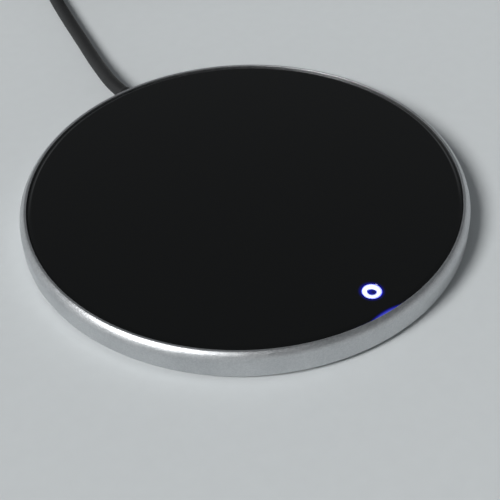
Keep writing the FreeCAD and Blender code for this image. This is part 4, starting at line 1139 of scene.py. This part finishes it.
def addTongue(start, mouth):
    size = plug
    half = size["shellWidth"] / 2 - size["wall"] - size["shellCorner"]
    low = -size["shellHeight"] / 2 + size["wall"]
    top, length, wide = low + size["tongueThick"], size["contactLength"], size["contactHalf"]
    front = mouth - size["tongueBack"]
    tongue = block((start, -half, low), (front, half, top))
    contacts = []
    for place, back in size["contacts"]:
        end = front - back
        corner = (end, place + wide, top + size["contactThick"])
        strip = block((end - length, place - wide, top), corner)
        bevelEdges(strip, lambda a, b: abs(a.z - b.z) > 0.05, 0.18, 4)
        softenEdges(strip, 0.03, 2, 40.0)
        contacts.append(strip)
        for side in (-1, 1):
            beside = place + side * (wide + 0.1)
            rib = block((end - length - 0.3, beside - 0.07, top), (end + 0.3, beside + 0.07, top + 0.08))
            combine(tongue, rib, "UNION")
    softenEdges(tongue, 0.06, 2, 40.0)
    nylon = grained("plugInsulator", (0.03, 0.03, 0.032), 0.38, 0.0004, 0.00001)
    moved(tongue, plugPlace)
    finishPiece(tongue, "plug_insert", nylon, "root")
    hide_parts("plug_tongue")
    strips = moved(gathered(contacts), plugPlace)
    gold = rolled("contactGold", (0.86, 0.62, 0.24), 0.2, 0.00008, 0.000002)
    finishPiece(strips, "plug_strips", gold, "root")
    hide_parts("plug_contacts")
    return tongue, strips


def addPlug():
    size = plug
    rubber = grained("plugMould", (0.014, 0.0145, 0.015), 0.46, 0.0005, 0.00002, 0.15)
    gripEnd = size["bootLength"] + size["gripLength"]
    back, mouth = gripEnd - size["shellSink"], gripEnd + size["shellLength"]
    boot = addBoot(rubber)
    grip = addGrip(rubber, size["bootLength"], gripEnd)
    return [boot, grip, addShell(back, mouth), *addTongue(back, mouth)]


plugPieces = addPlug()
jacket = grained("cordJacket", (0.008, 0.0085, 0.009), 0.58, 0.0004, 0.000012, 0.14, 0.02)
cord.data.materials.append(jacket)
print("plug made")

# Finishes of the parts on the circuit board
chipResin = grained("chipResin", (0.028, 0.028, 0.03), 0.5, 0.0002, 0.00001)
capCeramic = grained("capCeramic", (0.50, 0.37, 0.24), 0.4, 0.0003, 0.000006)
glazedBlack = grained("glazedBlack", (0.05, 0.05, 0.06), 0.28, 0.0003, 0.000005)
solderBright = grained("brightSolder", (0.72, 0.72, 0.73), 0.26, 0.0005, 0.00001, 0.1, Metallic=1.0)
shining = {"Emission_Color": (0.80, 0.88, 1.0, 1.0), "Emission_Strength": 2.0}
phosphor = grained("phosphor", (0.9, 0.82, 0.5), 0.4, 0.0001, 0.000005, **shining)
lampCase = grained("lampCase", (0.78, 0.78, 0.76), 0.45, 0.0002, 0.000004, 0.05)

# Each part is modelled about the origin, and a spot is (out, degrees from the front)
board = {
    "inner": 32.6,
    "top": 3.7,
    "low": 2.9,
    "chipSpot": (6.3, -15.0),
    "chipHalf": (2.5, 2.0),
    "chipLift": 0.1,
    "chipHeight": 1.0,
    "dimpleInset": 0.7,
    "dimpleRadius": 0.3,
    "pinPitch": 1.27,
    "pinHalf": 0.2,
    "pinEnd": 2.8,
    "pinThick": 0.14,
    "pinHigh": 0.55,
    "caseSpot": (8.0, 29.0),
    "caseHalf": (3.2, 2.6),
    "caseHeight": 1.1,
    "tabEnd": 3.9,
    "tabHalf": 2.6,
    "tabHole": 0.32,
    "legStep": 1.8,
    "legHalf": 0.35,
    "tabThick": 0.35,
    "capSpots": ((3.6, -7.0), (8.6, -9.0), (3.6, 7.5)),
    "capHalf": (1.0, 0.6),
    "capHeight": 1.0,
    "capShare": 0.32,
    "resistorSpots": ((9.5, -27.0), (7.2, -27.0), (4.5, 12.5), (7.0, 13.0), (3.0, 20.0)),
    "resistorHalf": (0.8, 0.4),
    "resistorHeight": 0.45,
    "lampPlace": 2.55,
    "lampHalf": (0.4, 0.8),
    "lampHeight": 0.55,
    "lampWall": 0.14,
    "lampEnd": 0.28,
    "windowLow": 0.3,
    "windowGap": 0.01,
}


def isUpright(a, b):
    return abs(a.z - b.z) > 0.1


def onBoard(piece, spot):
    out, degrees = spot
    turn = math.radians(degrees)
    reach = board["inner"] + out
    place = Vector((reach * math.sin(turn), -reach * math.cos(turn), board["top"]))
    return moved(piece, Matrix.Translation(place * mm) @ Matrix.Rotation(turn, 4, "Z"))


def pin(place, ends):
    # gull-wing pin out of a case's side, ends being its two (y, z) levels
    (start, high), (end, low) = ends
    side = 1 if end > start else -1
    line = [(start, high), (start + side * 0.22, high), (start + side * 0.34, (high + low) / 2)]
    line += [(start + side * 0.46, low), (end, low)]
    piece = band(line, board["pinHalf"], 1)[0]
    applyModifier(piece, "SOLIDIFY", thickness=board["pinThick"] * mm, offset=0.0)
    softenEdges(piece, 0.03, 2, 50.0)
    return dressed(moved(piece, Matrix.Translation(Vector((place, 0.0, 0.0)) * mm)), solderBright)


def addChip():
    size = board
    long, wide = size["chipHalf"]
    lift, height, inset = size["chipLift"], size["chipHeight"], size["dimpleInset"]
    case = block((-long, -wide, lift), (long, wide, lift + height))
    softenEdges(case, 0.14, 2, 30.0)
    spot = (-long + inset, -wide + inset)
    cut(case, rod((*spot, height), (*spot, 2.0), size["dimpleRadius"], 24))
    parts = [dressed(case, chipResin)]
    low = size["pinThick"] / 2
    for i in range(4):
        for side in (-1, 1):
            ends = ((side * (wide - 0.05), size["pinHigh"]), (side * size["pinEnd"], low))
            parts.append(pin(size["pinPitch"] * (i - 1.5), ends))
    chip = onBoard(gathered(parts), size["chipSpot"])
    finishPiece(chip, "chip", None, "root")
    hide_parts("control_chip")


def addTransistor():
    size = board
    long, wide = size["caseHalf"]
    half, end, thick = size["tabHalf"], size["tabEnd"], size["tabThick"]
    case = block((-long, -wide, 0.02), (long, wide, size["caseHeight"]))
    softenEdges(case, 0.16, 2, 30.0)
    tab = block((-half, -end, 0.0), (half, -wide + 1.5, thick))
    bevelEdges(tab, lambda a, b: isUpright(a, b) and a.y < -wide, 0.5, 4)
    spot = (0.0, -wide - 0.75)
    cut(tab, rod((*spot, -0.5), (*spot, 1.0), size["tabHole"], 24))
    softenEdges(tab, 0.04, 2, 40.0)
    parts = [dressed(case, chipResin), dressed(tab, solderBright)]
    for side in (-1, 1):
        near, far = (side * size["legStep"] + size["legHalf"] * way for way in (-1, 1))
        leg = block((near, wide - 0.5, 0.0), (far, end, thick))
        softenEdges(leg, 0.07, 2, 40.0)
        parts.append(dressed(leg, solderBright))
    transistor = onBoard(gathered(parts), size["caseSpot"])
    finishPiece(transistor, "transistor", None, "root")
    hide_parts("power_transistor")


def endCapped(half, height, material, spots):
    # two-ended blocks: a body between two soldered caps
    long, wide = half
    cap = long * board["capShare"]
    parts = []
    for spot in spots:
        body = block((-long + cap / 2, -wide + 0.03, 0.02), (long - cap / 2, wide - 0.03, height - 0.03))
        softenEdges(body, 0.04, 2, 40.0)
        pair = [dressed(body, material)]
        for side in (-1, 1):
            low, high = sorted((side * long, side * (long - cap)))
            end = block((low, -wide, 0.0), (high, wide, height))
            pair.append(dressed(softenEdges(end, 0.07, 3, 40.0), solderBright))
        parts.append(onBoard(gathered(pair), spot))
    return gathered(parts)


def addRingLamps():
    size = board
    wide, long = size["lampHalf"]
    height, wall, gap = size["lampHeight"], size["lampWall"], size["windowGap"]
    inWide, inLong = wide - wall, long - size["lampEnd"]
    parts = []
    for side in (-1, 1):
        case = block((-wide, -long, 0.0), (wide, long, height - 0.02))
        softenEdges(case, 0.05, 2, 40.0)
        room = block((-inWide, -inLong, height - wall), (inWide, inLong, 1.0))
        bevelEdges(room, isUpright, 0.12, 4)
        cut(case, room)
        corner = (inWide - gap, inLong - gap, height)
        window = block((gap - inWide, gap - inLong, size["windowLow"]), corner)
        bevelEdges(window, isUpright, 0.11, 4)
        softenEdges(window, 0.03, 2, 60.0)
        lamp = gathered([dressed(case, lampCase), dressed(window, phosphor)])
        place = Vector((side * size["lampPlace"], button["place"][1], size["top"]))
        parts.append(moved(lamp, Matrix.Translation(place * mm)))
    lamps = gathered(parts)
    finishPiece(lamps, "ring_lamps", None, "root")
    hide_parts("ring_leds")


addChip()
addTransistor()
capacitors = endCapped(board["capHalf"], board["capHeight"], capCeramic, board["capSpots"])
finishPiece(capacitors, "ceramic_capacitors", None, "root")
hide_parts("capacitors")
resistors = endCapped(board["resistorHalf"], board["resistorHeight"], glazedBlack, board["resistorSpots"])
finishPiece(resistors, "chip_resistors", None, "root")
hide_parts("resistors")
addRingLamps()
print("board parts made")


def boardFinish():
    # green mask with copper tracks standing under it, and bare laminate at the cut edge
    material, tree, shader = newMaterial("boardMask")
    place = objectPlace(tree)
    grain = useGroup(tree, "grain", Size=0.0008, Drift=0.01)
    cells = addNode(tree, "TexVoronoi", {"Vector": place, "Scale": 230.0}, distance="CHEBYCHEV")
    choices = addNode(tree, "SeparateColor", {0: cells.outputs["Color"]}).outputs
    lines = []
    for way in ("X", "Y"):
        wave = addNode(tree, "TexWave", {"Vector": place, "Scale": 420.0}, bands_direction=way)
        lines.append(spreadOver(tree, wave.outputs["Fac"], 0.90, 0.96))
    across = spreadOver(tree, choices[0], 0.49, 0.51)
    along = times(tree, lines[1], less(tree, 1.0, across))
    tracks = plus(tree, times(tree, lines[0], across), along)
    copper = times(tree, tracks, spreadOver(tree, choices[1], 0.39, 0.41))
    up = placeParts(tree)[2]
    top, low = board["top"] * mm, board["low"] * mm
    above = spreadOver(tree, up, top - 0.04 * mm, top - 0.02 * mm)
    below = spreadOver(tree, up, low + 0.04 * mm, low + 0.02 * mm)
    green = blendColours(tree, grain["Tone"], (0.012, 0.105, 0.045, 1.0), (0.018, 0.13, 0.058, 1.0))
    green = blendColours(tree, copper, green, (0.06, 0.24, 0.09, 1.0))
    face = plus(tree, above, below)
    feed(shader, "Base Color", blendColours(tree, face, (0.42, 0.36, 0.20, 1.0), green))
    feed(shader, "Roughness", spreadOver(tree, grain["Tone"], 0.0, 1.0, 0.24, 0.36))
    bump(tree, shader, plus(tree, copper, times(tree, grain["Height"], 0.2)), 0.00003)
    return material


# Nodes that keep the frame's own shape
screwZinc = grained("screwZinc", (0.55, 0.55, 0.56), 0.32, 0.0003, 0.000006, 0.1, Metallic=1.0)
keptNodes = {
    "plate_seal": grained("foamTape", (0.03, 0.03, 0.03), 0.8, 0.0003, 0.00003),
    "thermal_adhesive": grained("thermalSilicone", (0.60, 0.60, 0.58), 0.55, 0.0008, 0.00001, 0.06),
    "heat_spreader": rolled("spreaderSheet", (0.74, 0.75, 0.76), 0.3, 0.00012, 0.000004),
    "heater_film": grained("amberFilm", (0.50, 0.22, 0.03), 0.22, 0.0015, 0.000006, 0.15, 0.01, 0.05),
    "heater_track": rolled("heaterFoil", (0.58, 0.54, 0.48), 0.34, 0.0001, 0.000003),
    "insulation_pad": grained("fibreFelt", (0.78, 0.78, 0.74), 0.92, 0.0005, 0.0001, 0.12, 0.006, 0.04),
    "thermistor": grained("dippedBead", (0.07, 0.12, 0.07), 0.3, 0.0008, 0.00003),
    "thermal_fuse": grained("fuseCeramic", (0.72, 0.69, 0.62), 0.45, 0.0004, 0.00001),
    "circuit_board": boardFinish(),
    "solder_joints": solderBright,
    "heater_leads": rolled("tinnedCopper", (0.74, 0.46, 0.30), 0.3, 0.0001, 0.000003),
    "supply_wires": grained("redWire", (0.42, 0.025, 0.02), 0.4, 0.0006, 0.000008),
    "light_shield": grained("shieldFoam", (0.035, 0.035, 0.035), 0.85, 0.0003, 0.00005),
    "switch_body": grained("switchNylon", (0.045, 0.045, 0.05), 0.5, 0.0003, 0.00001),
    "switch_cover": rolled("coverSteel", (0.66, 0.66, 0.66), 0.26, 0.00006, 0.000002),
    "switch_plunger": grained("plungerNylon", (0.68, 0.68, 0.65), 0.42, 0.0003, 0.000008),
    "base_cover": grained("basePlastic", (0.030, 0.030, 0.032), 0.6, 0.0004, 0.00003),
    "base_screws": screwZinc,
    "board_screws": screwZinc,
}
for name, material in keptNodes.items():
    node = nodes[name]
    if not node.material_slots:
        node.data.materials.append(material)
    for place in node.material_slots:
        place.material = material
print("kept nodes dressed")

# Table, key light and the room's own light
studio = {
    "tableSize": 8.0,
    "tableColour": (0.66, 0.69, 0.70),
    "keyAzimuth": 182.0,
    "keyElevation": 42.0,
    "keySpread": 22.0,
    "keyPower": 2.75,
    "keyAway": 2.0,
}


def addKey():
    turn, rise = math.radians(studio["keyAzimuth"]), math.radians(studio["keyElevation"])
    toward = Vector((math.cos(turn) * math.cos(rise), math.sin(turn) * math.cos(rise), math.sin(rise)))
    deselectAll()
    aim = toward.to_track_quat("Z", "Y").to_euler()
    bpy.ops.object.light_add(type="SUN", location=toward * studio["keyAway"], rotation=aim)
    lamp = bpy.context.object
    lamp.name = "key_lamp"
    lamp.data.angle = math.radians(studio["keySpread"])
    lamp.data.energy = studio["keyPower"]


def addTable():
    deselectAll()
    bpy.ops.mesh.primitive_plane_add(size=studio["tableSize"], location=(0.0, 0.0, 0.0))
    table = bpy.context.object
    table.name = "table"
    setMode("EDIT")
    bpy.ops.mesh.subdivide(number_cuts=15)
    setMode("OBJECT")
    colour = studio["tableColour"]
    top = grained("tableTop", colour, 0.8, 0.0012, 0.000004, 0.015, 0.3, 0.04, Specular_IOR_Level=0.15)
    table.data.materials.append(top)


def lightRoom():
    world = bpy.context.scene.world or bpy.data.worlds.new("room")
    bpy.context.scene.world = world
    world.use_nodes = True
    tree = world.node_tree
    tree.nodes.clear()
    place = addNode(tree, "TexCoord").outputs["Generated"]
    up = addNode(tree, "SeparateXYZ", {0: place}).outputs[2]
    share = spreadOver(tree, up, 0.16, 0.42)
    colour = blendColours(tree, share, (0.56, 0.58, 0.59, 1.0), (0.13, 0.135, 0.14, 1.0))
    sky = addNode(tree, "Background", {"Color": colour, "Strength": 1.0})
    end = addNode(tree, "OutputWorld")
    tree.links.new(sky.outputs[0], end.inputs[0])


addTable()
addKey()
lightRoom()
bpy.context.scene.view_settings.view_transform = "Standard"
print("room lit")
